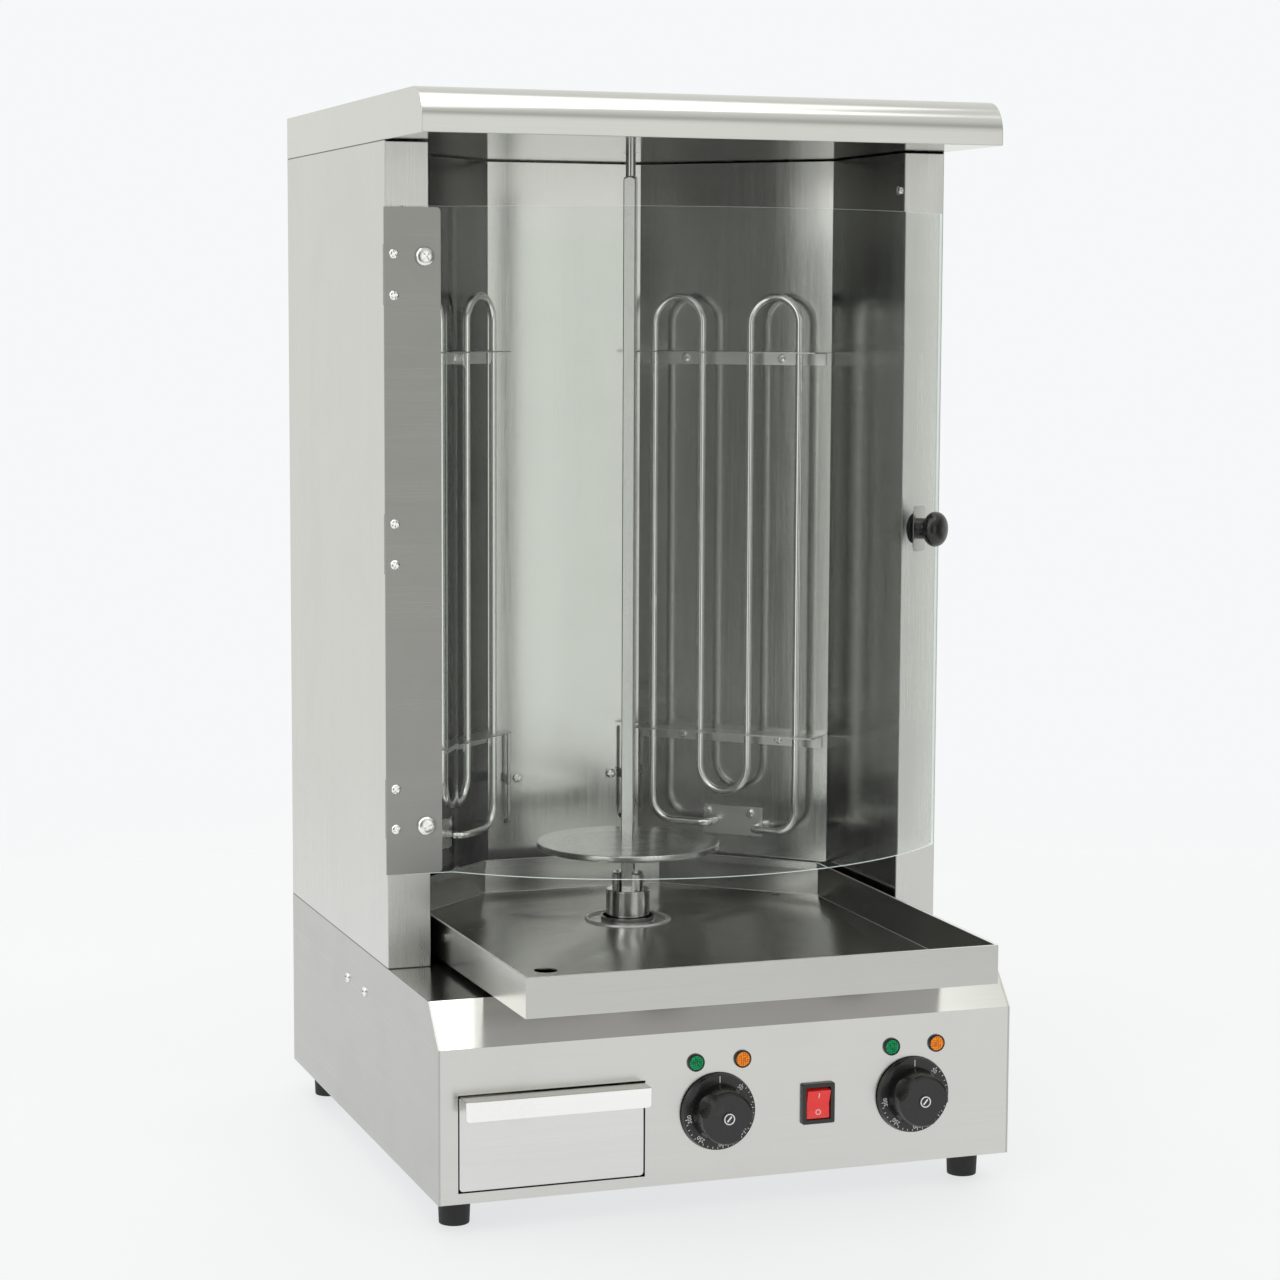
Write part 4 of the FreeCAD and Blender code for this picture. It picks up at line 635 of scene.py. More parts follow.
def add_bevel(piece: bpy.types.Object, width: float) -> None:
    """Rounds a piece's sharp edges.

    Args:
        piece: the piece.
        width: how far the rounding reaches, in millimetres.
    """
    bevel = piece.modifiers.new("soft_edges", "BEVEL")
    bevel.width = width * MM
    bevel.segments = BEVEL_STEPS
    bevel.limit_method = "ANGLE"
    bevel.angle_limit = SOFT_EDGE
    bevel.harden_normals = True


def settle(piece: bpy.types.Object, body: str, slot: str, *nodes: str) -> bpy.types.Object:
    """Hands a finished piece to the frame.

    Args:
        piece: the finished piece.
        body: the body it rides on.
        slot: not used.
        nodes: the CAD nodes it stands for.

    Returns:
        The piece.
    """
    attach(piece, body)
    if nodes:
        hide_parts(*nodes)
    LOG.info("piece %s on %s", piece.name, body)
    return piece


def merged_mesh(node: str, name: str) -> bpy.types.Mesh:
    """A CAD node's mesh as a new one, merged and with its flat faces whole.

    Args:
        node: the CAD node.
        name: the new mesh's name.

    Returns:
        The new mesh, with no material.
    """
    mesh = frame["nodes"][node].data.copy()
    mesh.name = name
    mesh.materials.clear()
    work = bmesh.new()
    work.from_mesh(mesh)
    bmesh.ops.remove_doubles(work, verts=work.verts, dist=SAME_POINT)
    bmesh.ops.dissolve_limit(work, angle_limit=FLAT_ENOUGH, verts=work.verts, edges=work.edges)
    work.to_mesh(mesh)
    work.free()
    if mesh.has_custom_normals:
        mesh.attributes.remove(mesh.attributes["custom_normal"])
    return mesh


def fill_corners(mesh: bpy.types.Mesh, radius: float, segments: int = 4) -> None:
    """Rounds the inner corners of a mesh, as a weld or a bend leaves them.

    Args:
        mesh: the mesh, changed in place.
        radius: how far the rounding reaches along each face, in millimetres.
        segments: flats across each rounding.
    """
    work = bmesh.new()
    work.from_mesh(mesh)
    inner = [edge for edge in work.edges
             if len(edge.link_faces) == 2 and edge.calc_face_angle_signed(0.0) < -INNER_CORNER]
    bmesh.ops.bevel(work, geom=inner, offset=radius * MM, segments=segments, profile=0.5, affect="EDGES",
                    clamp_overlap=True)
    work.to_mesh(mesh)
    work.free()


def dress(node: str, finish: Finish, slot: str, bevel: float = 0.3, angle: float = SOFT_EDGE,
          corner: float = 0.0) -> bpy.types.Object:
    """Makes the finished piece that stands for a CAD node, with soft edges.

    Args:
        node: the CAD node it follows.
        finish: the finish it gets.
        slot: the record's material slot.
        bevel: width of the rounded edges in millimetres, 0 for none.
        angle: edges sharper than this stay crisp.
        corner: size of the rounding in inner corners in millimetres, 0 for none.

    Returns:
        The piece, riding on the node's body.
    """
    mesh = merged_mesh(node, node + "_finished")
    mesh.materials.append(finish.material())
    if corner:
        fill_corners(mesh, corner)
    smooth(mesh, angle)
    piece = linked_object(node + "_finished", mesh)
    if bevel:
        add_bevel(piece, bevel)
    return settle(piece, body_of(node), slot, node)


def lathe(profile: Sequence[tuple], start: Vector, axis: Vector, steps: int = 48) -> bmesh.types.BMesh:
    """Turns a profile of (radius, height) pairs in millimetres about an axis.

    Args:
        profile: pairs from one end of the axis to the other, or round a ring's section.
        start: the point where height is 0.
        axis: the way heights grow.
        steps: faces round the axis.

    Returns:
        The closed shape as a bmesh.
    """
    work = bmesh.new()
    turn = UP.rotation_difference(axis)
    rings = []
    for radius, height in profile:
        if radius == 0:
            rings.append([work.verts.new(start + turn @ Vector((0, 0, height * MM)))])
            continue
        ring = []
        for step in range(steps):
            angle = 2 * math.pi * step / steps
            local = Vector((radius * math.cos(angle), radius * math.sin(angle), height)) * MM
            ring.append(work.verts.new(start + turn @ local))
        rings.append(ring)
    for low, high in zip(rings, rings[1:]):
        for step in range(steps):
            after = (step + 1) % steps
            corners = (low[step % len(low)], low[after % len(low)], high[after % len(high)],
                       high[step % len(high)])
            unique = list(dict.fromkeys(corners))
            if len(unique) > 2:
                work.faces.new(unique)
    bmesh.ops.recalc_face_normals(work, faces=work.faces)
    return work


def piece_from(name: str, parts: list[bmesh.types.BMesh], finish: Finish) -> bpy.types.Object:
    """One smooth object from several bmeshes, which it uses up.

    Args:
        name: the object's name.
        parts: the bmeshes.
        finish: the finish of them all.

    Returns:
        The object.
    """
    whole = bmesh.new()
    for part in parts:
        held = bpy.data.meshes.new("held")
        part.to_mesh(held)
        part.free()
        whole.from_mesh(held)
        bpy.data.meshes.remove(held)
    mesh = bpy.data.meshes.new(name)
    whole.to_mesh(mesh)
    whole.free()
    mesh.materials.append(finish.material())
    smooth(mesh)
    return linked_object(name, mesh)


def block(low: tuple, high: tuple, place: Matrix) -> bmesh.types.BMesh:
    """A box as a bmesh.

    Args:
        low: its lowest corner in millimetres.
        high: its highest corner in millimetres.
        place: the matrix that carries it to its place.

    Returns:
        The box.
    """
    work = bmesh.new()
    bmesh.ops.create_cube(work, size=1.0)
    size = (Vector(high) - Vector(low)) * MM
    middle = (Vector(high) + Vector(low)) * MM / 2
    shape = Matrix.Translation(middle) @ Matrix.Diagonal((*size, 1.0))
    bmesh.ops.transform(work, matrix=place @ shape, verts=work.verts)
    return work


def evaluated_mesh(holder: bpy.types.Object) -> bpy.types.Mesh:
    """The mesh that an object's modifiers or letters make; the object is used up.

    Args:
        holder: the object.

    Returns:
        The new mesh.
    """
    graph = bpy.context.evaluated_depsgraph_get()
    graph.update()
    mesh = bpy.data.meshes.new_from_object(holder.evaluated_get(graph))
    bpy.data.objects.remove(holder)
    return mesh


def lettering(text: str, size: float, place: Matrix, thickness: float) -> bmesh.types.BMesh:
    """Raised figures as a mesh, centred and carried to a place.

    Args:
        text: plain numbers or a switch's I and O.
        size: height of the letters in millimetres.
        place: the matrix of the face they stand on.
        thickness: how far they stand out, in millimetres.

    Returns:
        The figures as a bmesh.
    """
    curve = bpy.data.curves.new("figures", "FONT")
    curve.body = text
    curve.size = size * MM
    curve.extrude = thickness * MM / 2
    curve.align_x = "CENTER"
    curve.align_y = "CENTER"
    curve.resolution_u = LETTER_STEPS
    mesh = evaluated_mesh(linked_object("figures", curve))
    work = bmesh.new()
    work.from_mesh(mesh)
    bpy.data.meshes.remove(mesh)
    lift = Matrix.Translation((0, 0, thickness * MM / 2))
    bmesh.ops.transform(work, matrix=place @ lift, verts=work.verts)
    return work


def solids_of(node: str) -> list[tuple[np.ndarray, np.ndarray]]:
    """The separate solids of a CAD node.

    Args:
        node: the CAD node.

    Returns:
        For each solid its vertices, and its faces' normals scaled by the root of their area.
    """
    work = bmesh.new()
    work.from_mesh(frame["nodes"][node].data)
    bmesh.ops.remove_doubles(work, verts=work.verts, dist=SAME_POINT)
    work.verts.ensure_lookup_table()
    seen: set[int] = set()
    found = []
    for first in work.verts:
        if first.index in seen or not first.link_faces:
            continue
        stack, verts, faces = [first], [], set()
        seen.add(first.index)
        while stack:
            vert = stack.pop()
            verts.append(vert.co.copy())
            faces.update(vert.link_faces)
            for edge in vert.link_edges:
                other = edge.other_vert(vert)
                if other.index not in seen:
                    seen.add(other.index)
                    stack.append(other)
        normals = np.array([face.normal * math.sqrt(face.calc_area()) for face in faces])
        found.append((np.array(verts), normals))
    work.free()
    return found


def screw_places(node: str) -> list[tuple[Vector, Vector]]:
    """Where each screw of a CAD node sits, read from its solids.

    Args:
        node: the CAD node that holds the screws.

    Returns:
        For each screw: the top of its head, and the direction out of the head.
    """
    places = []
    for verts, normals in solids_of(node):
        values, vectors = np.linalg.eigh(normals.T @ normals)
        odd = 0 if values[1] - values[0] > values[2] - values[1] else 2
        axis = vectors[:, odd]
        middle = (verts.max(0) + verts.min(0)) / 2
        along = (verts - middle) @ axis
        radius = np.linalg.norm(verts - middle - along[:, None] * axis, axis=1)
        widest = along[radius > radius.max() * WIDEST_SHARE].mean()
        if widest < (along.max() + along.min()) / 2:
            axis = -axis
            along = -along
        places.append((Vector(middle + axis * along.max()), Vector(axis)))
    return places


# ---------------------------------------------------------------- geometry nodes
SEED_NOTES = ("facing", "turn", "bend")


def tree_with(name: str, inputs: dict[str, float]) -> tuple:
    """Starts a geometry node tree with named size inputs.

    Args:
        name: the tree's name.
        inputs: each size's name and default.

    Returns:
        The tree, a desk on it, its input sockets and its output node.
    """
    tree = bpy.data.node_groups.new(name, "GeometryNodeTree")
    tree.interface.new_socket("Geometry", in_out="INPUT", socket_type="NodeSocketGeometry")
    for label, default in inputs.items():
        socket = tree.interface.new_socket(label, in_out="INPUT", socket_type="NodeSocketFloat")
        socket.default_value = default
    tree.interface.new_socket("Finish", in_out="INPUT", socket_type="NodeSocketMaterial")
    tree.interface.new_socket("Geometry", in_out="OUTPUT", socket_type="NodeSocketGeometry")
    desk = Desk(tree)
    return tree, desk, desk.add("NodeGroupInput").outputs, desk.add("NodeGroupOutput")


def end_tree(desk: Desk, source: Sequence, result: bpy.types.Node, shape: bpy.types.NodeSocket) -> None:
    """Ends a geometry tree in Realize Instances and Set Material.

    Args:
        desk: the desk on the tree.
        source: the tree's input sockets.
        result: the tree's output node.
        shape: the geometry to put out.
    """
    real = desk.add("GeometryNodeRealizeInstances", {0: shape}).outputs[0]
    done = desk.add("GeometryNodeSetMaterial", {"Geometry": real, "Material": source["Finish"]})
    desk.feed(result.inputs["Geometry"], done.outputs[0])


def noted(desk: Desk, name: str, kind: str = "FLOAT") -> bpy.types.NodeSocket:
    """A value that the seed mesh holds for each point, by its attribute's name."""
    return desk.add("GeometryNodeInputNamedAttribute", {"Name": name}, data_type=kind).outputs[0]


def grown(name: str, seed: bpy.types.Mesh, tree: bpy.types.NodeTree, values: dict) -> bpy.types.Object:
    """Runs a geometry tree on a seed mesh and keeps the result as a plain mesh.

    Args:
        name: the new piece's name.
        seed: points or edges that the tree starts from.
        tree: the geometry node tree.
        values: the tree's inputs by name.

    Returns:
        The piece, with no modifier left.
    """
    holder = linked_object(name + "_seed", seed)
    modifier = holder.modifiers.new("grow", "NODES")
    modifier.node_group = tree
    for item in tree.interface.items_tree:
        if item.in_out == "INPUT" and item.name in values:
            modifier[item.identifier] = values[item.name]
    mesh = evaluated_mesh(holder)
    mesh.name = name
    for note in SEED_NOTES:
        if note in mesh.attributes:
            mesh.attributes.remove(mesh.attributes[note])
    smooth(mesh)
    return linked_object(name, mesh)


@cache
def screw_tree() -> bpy.types.NodeTree:
    """Cross-recess screws on points: a domed head, its recess and a shank.

    Returns:
        The geometry node tree.
    """
    swelling, rising, slot_width, slot_depth = -0.42, 0.8, 0.24, 1.1
    tree, desk, source, result = tree_with("cross_head_screws", {
        "Head Radius": 0.0038, "Head Height": 0.0024, "Recess": 0.6, "Shank Radius": 0.0018,
        "Shank Length": 0.005})
    radius, height, length = source["Head Radius"], source["Head Height"], source["Shank Length"]
    ball = desk.add("GeometryNodeMeshUVSphere", {"Segments": 28, "Rings": 14, "Radius": 1.0}).outputs["Mesh"]
    x, y, z = desk.parts(desk.add("GeometryNodeInputPosition").outputs[0])
    reach = desk.sum("MAXIMUM", desk.vector("LENGTH", desk.joined(x, y)).outputs["Value"], 0.001)
    swell = desk.sum("MULTIPLY", desk.sum("POWER", reach, swelling), radius)
    rise = desk.sum("POWER", desk.sum("MAXIMUM", z, 0.0), rising)
    place = desk.joined(desk.sum("MULTIPLY", x, swell), desk.sum("MULTIPLY", y, swell),
                        desk.sum("MULTIPLY", rise, height))
    head = desk.add("GeometryNodeSetPosition", {"Geometry": ball, "Position": place}).outputs[0]
    cut = desk.add("GeometryNodeMeshBoolean", {0: head}, operation="DIFFERENCE", solver="EXACT")
    long_side = desk.sum("MULTIPLY", desk.sum("MULTIPLY", radius, 2.0), source["Recess"])
    short_side = desk.sum("MULTIPLY", long_side, slot_width)
    depth = desk.sum("MULTIPLY", height, slot_depth)
    for sides in ((long_side, short_side), (short_side, long_side)):
        cube = desk.add("GeometryNodeMeshCube", {"Size": desk.joined(*sides, depth)}).outputs["Mesh"]
        slot = desk.add("GeometryNodeTransform", {"Geometry": cube, "Translation": desk.joined(z=height)})
        desk.feed(cut.inputs[1], slot.outputs[0])
    bar = desk.add("GeometryNodeMeshCylinder", {"Vertices": 16, "Radius": source["Shank Radius"],
                                                "Depth": length}).outputs["Mesh"]
    drop = desk.joined(z=desk.sum("MULTIPLY", length, -0.5))
    shank = desk.add("GeometryNodeTransform", {"Geometry": bar, "Translation": drop})
    whole = desk.add("GeometryNodeJoinGeometry", {0: cut.outputs[0]})
    desk.feed(whole.inputs[0], shank.outputs[0])
    aimed = desk.add("FunctionNodeAlignRotationToVector", {"Vector": noted(desk, "facing", "FLOAT_VECTOR")},
                     axis="Z").outputs[0]
    spin = desk.add("FunctionNodeAxisAngleToRotation", {"Axis": tuple(UP), "Angle": noted(desk, "turn")})
    posed = desk.add("FunctionNodeRotateRotation", {0: aimed, 1: spin.outputs[0]}, rotation_space="LOCAL")
    placed = desk.add("GeometryNodeInstanceOnPoints", {
        "Points": source["Geometry"], "Instance": whole.outputs[0], "Rotation": posed.outputs[0]})
    end_tree(desk, source, result, placed.outputs[0])
    return tree


@cache
def tube_tree() -> bpy.types.NodeTree:
    """A round tube that follows corner points with a bend radius at each.

    Returns:
        The geometry node tree.
    """
    tree, desk, source, result = tree_with("bent_tube", {"Tube Radius": 0.003})
    line = desk.add("GeometryNodeMeshToCurve", {"Mesh": source["Geometry"]}).outputs[0]
    rounded = desk.add("GeometryNodeFilletCurve", {"Curve": line, "Count": 14, "Radius": noted(desk, "bend"),
                                                   "Limit Radius": True}, mode="POLY").outputs[0]
    ring = desk.add("GeometryNodeCurvePrimitiveCircle", {"Resolution": 24, "Radius": source["Tube Radius"]})
    tube = desk.add("GeometryNodeCurveToMesh", {"Curve": rounded, "Profile Curve": ring.outputs[0],
                                                "Fill Caps": True}).outputs[0]
    end_tree(desk, source, result, tube)
    return tree


@dataclass(frozen=True)
class ScrewKind:
    """The sizes of one kind of cross-recess screw, in millimetres; recess is a share of the head.

    first_turn and next_turn, in radians, leave each screw's cross at another angle.
    """

    head_radius: float
    head_height: float
    shank_radius: float
    shank_length: float
    recess: float
    first_turn: float = 0.4
    next_turn: float = 1.9

    def drive_in(self, node: str, slot: str) -> None:
        """Puts a screw at each place where the CAD node has one.

        Args:
            node: the CAD node that holds the screws.
            slot: the record's material slot.
        """
        places = screw_places(node)
        seed = bpy.data.meshes.new(node + "_points")
        seed.from_pydata([top - way * self.head_height * MM for top, way in places], [], [])
        facing = seed.attributes.new("facing", "FLOAT_VECTOR", "POINT")
        facing.data.foreach_set("vector", [part for _, way in places for part in way])
        turn = seed.attributes.new("turn", "FLOAT", "POINT")
        turns = [self.first_turn + self.next_turn * number for number in range(len(places))]
        turn.data.foreach_set("value", turns)
        values = {"Head Radius": self.head_radius * MM, "Head Height": self.head_height * MM,
                  "Shank Radius": self.shank_radius * MM, "Shank Length": self.shank_length * MM,
                  "Recess": self.recess, "Finish": SCREW_CHROME.material()}
        piece = grown(node + "_finished", seed, screw_tree(), values)
        settle(piece, body_of(node), slot, node)


SHEET_SCREW = ScrewKind(4.1, 2.4, 1.9, 4.5, 0.8)
HINGE_SCREW = ScrewKind(4.0, 2.4, 1.9, 4.0, 0.8)
CLAMP_SCREW = ScrewKind(7.5, 3.2, 2.4, 6.0, 0.45)


# ---------------------------------------------------------------- sub-assemblies
class Side(Enum):
    """Which of two matching parts: left or right, seen from the front."""

    LEFT = "left"
    RIGHT = "right"


@dataclass
class BaseCabinet:
    """The outside of the low cabinet: panels, feet and screws."""

    panel_bevel: float = 0.35
    side_bevel: float = 0.6
    foot_bevel: float = 0.8

    def build(self) -> None:
        """Makes the panels, the feet and the screws."""
        dress("front_panel", PANEL_STEEL, "brushed_stainless", self.panel_bevel)
        dress("base_top_cover", DECK_STEEL, "brushed_stainless", self.panel_bevel)
        for side in Side:
            # the base sides get the darker steel: painted shade
            dress("base_side_" + side.value, SHADED_BASE_SIDE_STEEL, "brushed_stainless", self.side_bevel)
        for node in ("base_back_panel", "base_floor"):
            dress(node, ZINC_SHEET, "galvanised_sheet", self.panel_bevel)
        dress("rubber_feet", BLACK_RUBBER, "black_rubber", self.foot_bevel)
        SHEET_SCREW.drive_in("casing_screws", "zinc_screw")


@dataclass
class BaseInside:
    """What is inside the low cabinet, and the gland for the mains lead in its back."""

    def build(self) -> None:
        """Finishes the inner parts and makes the gland."""
        coat_node("foot_screws", SCREW_CHROME)
        coat_node("motor_bracket", ZINC_SHEET)
        coat_node("terminal_block", WHITE_PLASTIC)
        dress("cable_gland", BLACK_PLASTIC, "gland_plastic")


@dataclass
class Drawer:
    """The drawer for fat: its box, its front with a folded lip, and the runners."""

    front_bevel: float = 0.5
    sheet_bevel: float = 0.25
    lip_depth: float = 3.0

    def build(self) -> None:
        """Makes the drawer and its runners."""
        front = dress("drawer_front", DRAWER_STEEL, "brushed_stainless", self.front_bevel).data
        # the lip's faces get the near-white steel: a painted highlight along the rolled lip
        front.materials.append(LIP_HIGHLIGHT_STEEL.material())
        leading = min(vert.co.y for vert in front.vertices)
        for face in front.polygons:
            face.material_index = int(face.center.y < leading + self.lip_depth * MM)
        dress("drawer_box", DRAWER_BOX_STEEL, "brushed_stainless", self.sheet_bevel)
        dress("drawer_runners", ZINC_SHEET, "galvanised_sheet", self.sheet_bevel)


@dataclass
class Dial:
    """One thermostat dial with its printed scale and centre ring, in millimetres.

    The scale's angles are degrees clockwise from the top, and skirt_face is how far its face
    stands off the panel. ring_profile is the section of the centre ring.
    """

    side: Side
    cap_bevel: float = 0.6
    cap_angle: float = math.radians(50)
    skirt_face: float = 3.99
    zero_radius: float = 25.2
    zero_bar: tuple = (0.35, 2.4, 2.6)
    number_radius: float = 24.3
    number_size: float = 4.6
    tick_radius: float = 27.3
    ticks_per_number: int = 5
    long_tick: tuple = (0.22, 1.5, 0.5)
    short_tick: tuple = (0.22, 0.9, 0.5)
    ink_thickness: float = 0.06
    first_angle: float = 42.0
    last_angle: float = 262.0
    temperatures: tuple = (50, 100, 150, 200, 250, 300)
    ring_profile: tuple = ((3.5, 0.02), (3.5, -0.3), (3.9, -0.38), (4.3, -0.3), (4.3, 0.02), (3.5, 0.02))
    slot_low: tuple = (-0.6, -0.2, -2.6)
    slot_high: tuple = (0.6, 0.1, 2.6)
    slot_angle: float = 40.0
    centre: Vector = field(init=False, repr=False)

    def build(self) -> None:
        """Makes the dial, its scale and its centre."""
        name = self.side.value
        dress("dial_" + name, BLACK_PLASTIC, "black_plastic", self.cap_bevel, self.cap_angle)
        low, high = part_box("dial_" + name)
        self.centre = Vector(((low.x + high.x) / 2, high.y, (low.z + high.z) / 2))
        self.print_scale(name + "_dial")
        self.set_ring(name + "_dial", low.y)
        coat_node("spindle_" + name, SPIT_STEEL)

    def at(self, angle: float, radius: float) -> Matrix:
        """A place on the skirt's face, turned so that its top points outwards.

        Args:
            angle: degrees clockwise from the top.
            radius: millimetres from the centre.

        Returns:
            The matrix that carries a flat drawing there.
        """
        turn = math.radians(angle)
        away = Vector((math.sin(turn) * radius, -self.skirt_face, math.cos(turn) * radius)) * MM
        upright = Matrix.Rotation(math.radians(90), 4, "X")
        return Matrix.Translation(self.centre + away) @ Matrix.Rotation(turn, 4, "Y") @ upright

    def bar(self, size: tuple, place: Matrix) -> bmesh.types.BMesh:
        """A printed bar, from its half width and its reach inwards and outwards."""
        half, inward, outward = size
        return block((-half, -inward, 0), (half, outward, self.ink_thickness), place)

    def print_scale(self, body: str) -> None:
        """Prints the numbers and ticks on the skirt.

        Args:
            body: the body they ride on.
        """
        parts = []
        last = len(self.temperatures) - 1
        step = (self.last_angle - self.first_angle) / last
        for number, value in enumerate(self.temperatures):
            angle = self.first_angle + step * number
            place = self.at(angle, self.number_radius)
            parts.append(lettering(str(value), self.number_size, place, self.ink_thickness))
            for small in range(self.ticks_per_number if number < last else 1):
                place = self.at(angle + step * small / self.ticks_per_number, self.tick_radius)
                parts.append(self.bar(self.short_tick if small else self.long_tick, place))
        parts.append(self.bar(self.zero_bar, self.at(0, self.zero_radius)))
        settle(piece_from("dial_scale_" + self.side.value, parts, WHITE_INK), body, "black_plastic")

    def set_ring(self, body: str, front: float) -> None:
        """Sets the bright ring and slot in the middle of the grip.

        Args:
            body: the body they ride on.
            front: how far forward the grip's face is, in metres.
        """
        seat = Vector((self.centre.x, front, self.centre.z))
        turn = Matrix.Translation(seat) @ Matrix.Rotation(math.radians(self.slot_angle), 4, "Y")
        parts = [lathe(self.ring_profile, seat, -FORWARD), block(self.slot_low, self.slot_high, turn)]
        settle(piece_from("dial_ring_" + self.side.value, parts, WHITE_INK), body, "polished_steel")


@dataclass
class SignalLamps:
    """Two pairs of small lamps: dark bezels with pressed lenses, in millimetres.

    lens_profile and bezel_profile are (radius, height) pairs from the panel's face outwards;
    seat_depth is how far behind the lamp's front that face lies.
    """

    body_radius: float = 5.0
    body_length: float = 24.0
    seat_depth: float = 2.6
    lens_profile: tuple = ((5.5, 0), (5.5, 1.7), (4.9, 2.2), (3.0, 2.45), (0, 2.55))
    bezel_profile: tuple = ((5.55, 0), (6.8, 0), (6.8, 1.6), (6.5, 2.3), (6.0, 2.5), (5.55, 2.2), (5.55, 0))
    steps: int = 32

    def build(self) -> None:
        """Makes the lenses and bezels of both colours."""
        body = ((0, -self.body_length), (self.body_radius, -self.body_length), (self.body_radius, 0))
        bezels = []
        for colour, finish in (("green", GREEN_LENS), ("amber", AMBER_LENS)):
            node = "lamps_" + colour
            lenses = []
            for verts, _ in solids_of(node):
                low, high = verts.min(0), verts.max(0)
                front = low[1] + self.seat_depth * MM
                seat = Vector(((low[0] + high[0]) / 2, front, (low[2] + high[2]) / 2))
                lenses.append(lathe(body + self.lens_profile, seat, FORWARD, self.steps))
                bezels.append(lathe(self.bezel_profile, seat, FORWARD, self.steps))
            settle(piece_from(node + "_finished", lenses, finish), body_of(node), "lamp_" + colour, node)
        settle(piece_from("lamp_bezels", bezels, BLACK_PLASTIC), "chassis", "black_plastic")


@dataclass
class Switch:
    """The rocker switch with its plain I and O marks, in millimetres.

    mark_foot and mark_head are shares of the rocker's height from its middle, between which a
    mark lies; face_depth is how far back the two faces of the rocker reach.
    """

    bevel: float = 0.4
    mark_size: float = 6.0
    mark_foot: float = 0.22
    mark_head: float = 0.36
    mark_thickness: float = 0.12
    mark_lift: float = 0.02
    face_depth: float = 6.0

    def build(self) -> None:
        """Makes the bezel, the rocker and its marks."""
        dress("switch_housing", BLACK_PLASTIC, "black_plastic", self.bevel)
        dress("switch_rocker", ROCKER_RED, "switch_red", self.bevel)
        verts = np.array([vert.co for vert in frame["nodes"]["switch_rocker"].data.vertices])
        marks = [self.mark(text, side, verts) for text, side in (("I", 1), ("O", -1))]
        settle(piece_from("switch_marks", marks, WHITE_INK), "rocker", "white_plastic")

    def mark(self, text: str, side: int, verts: np.ndarray) -> bmesh.types.BMesh:
        """One mark, lying on the slope of the rocker's face.

        Args:
            text: the letter.
            side: 1 for the upper half of the rocker, -1 for the lower.
            verts: the rocker's vertices.

        Returns:
            The mark as a bmesh.
        """
        near = self.face_point(verts, side * self.mark_foot)
        far = self.face_point(verts, side * self.mark_head)
        upwards = ((far - near) * side).normalized()
        middle = (near + far) / 2 + FORWARD * self.mark_lift * MM
        across = Vector((1, 0, 0))
        turn = Matrix((across, upwards, across.cross(upwards))).transposed().to_4x4()
        return lettering(text, self.mark_size, Matrix.Translation(middle) @ turn, self.mark_thickness)

    def face_point(self, verts: np.ndarray, share: float) -> Vector:
        """A point on the middle line of the rocker's face.

        Args:
            verts: the rocker's vertices.
            share: its height from the middle, as a share of the rocker's height.

        Returns:
            The point.
        """
        low, high = verts.min(0), verts.max(0)
        level = (high[2] + low[2]) / 2 + share * (high[2] - low[2])
        front: dict[float, float] = {}
        for _, y, z in verts:
            height = round(float(z), 5)
            front[height] = min(front.get(height, math.inf), float(y))
        heights = [height for height in sorted(front) if front[height] < low[1] + self.face_depth * MM]
        depth = np.interp(level, heights, [front[height] for height in heights])
        return Vector(((high[0] + low[0]) / 2, depth, level))


@dataclass
class Controls:
    """Everything on the front panel, and the thermostats behind it."""

    def build(self) -> None:
        """Makes the dials, lamps and switch."""
        for side in Side:
            Dial(side).build()
        SignalLamps().build()
        Switch().build()
        coat_node("thermostats", ZINC_SHEET)


@dataclass
class Housing:
    """The upright casing with its roof, ceiling and the bearing of the spit."""

    bevel: float = 0.6
    ceiling_bevel: float = 0.2
    nose_angle: float = math.radians(20)

    def build(self) -> None:
        """Makes the casing's panels and the roof, with painted seam shadows at the casing's foot and head."""
        seams = (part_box("housing_left")[0].z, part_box("roof_cap")[0].z)
        steel = replace(CASING_STEEL, name="seam_shaded_casing_steel", seams=seams)
        for name in ("left", "right", "back"):
            dress("housing_" + name, steel, "brushed_stainless", self.bevel)
        dress("roof_cap", ROOF_STEEL, "brushed_stainless", self.bevel, self.nose_angle)
        dress("ceiling_plate", MIRROR_STEEL, "mirror_stainless", self.ceiling_bevel)
        dress("ceiling_screws", SCREW_CHROME, "zinc_screw", self.ceiling_bevel / 2)
        dress("spit_bearing", BRASS, "brass_bush", self.ceiling_bevel)


@dataclass
class Chamber:
    """The polished liner of the cooking space, with the two thermostat bulbs."""

    bevel: float = 0.25
    clip_bevel: float = 0.15

    def build(self) -> None:
        """Makes the liner's panels, bulbs, clips and screws."""
        for side in Side:
            # the left heater panel gets the dark copy of the steel: a painted dark reflection
            heater_panel_steel = DARK_REFLECTION_STEEL if side is Side.LEFT else CHAMBER_STEEL
            dress("chamber_side_" + side.value, CHAMBER_STEEL, "chamber_stainless", self.bevel)
            dress("heater_panel_" + side.value, heater_panel_steel, "chamber_stainless", self.bevel)
        dress("chamber_back_panel", CHAMBER_STEEL, "chamber_stainless", self.bevel)
        dress("thermostat_bulbs", BULB_STEEL, "copper_bulb", 0)
        dress("bulb_clips", SPIT_STEEL, "polished_steel", self.clip_bevel)
        SHEET_SCREW.drive_in("chamber_screws", "chrome_screw")


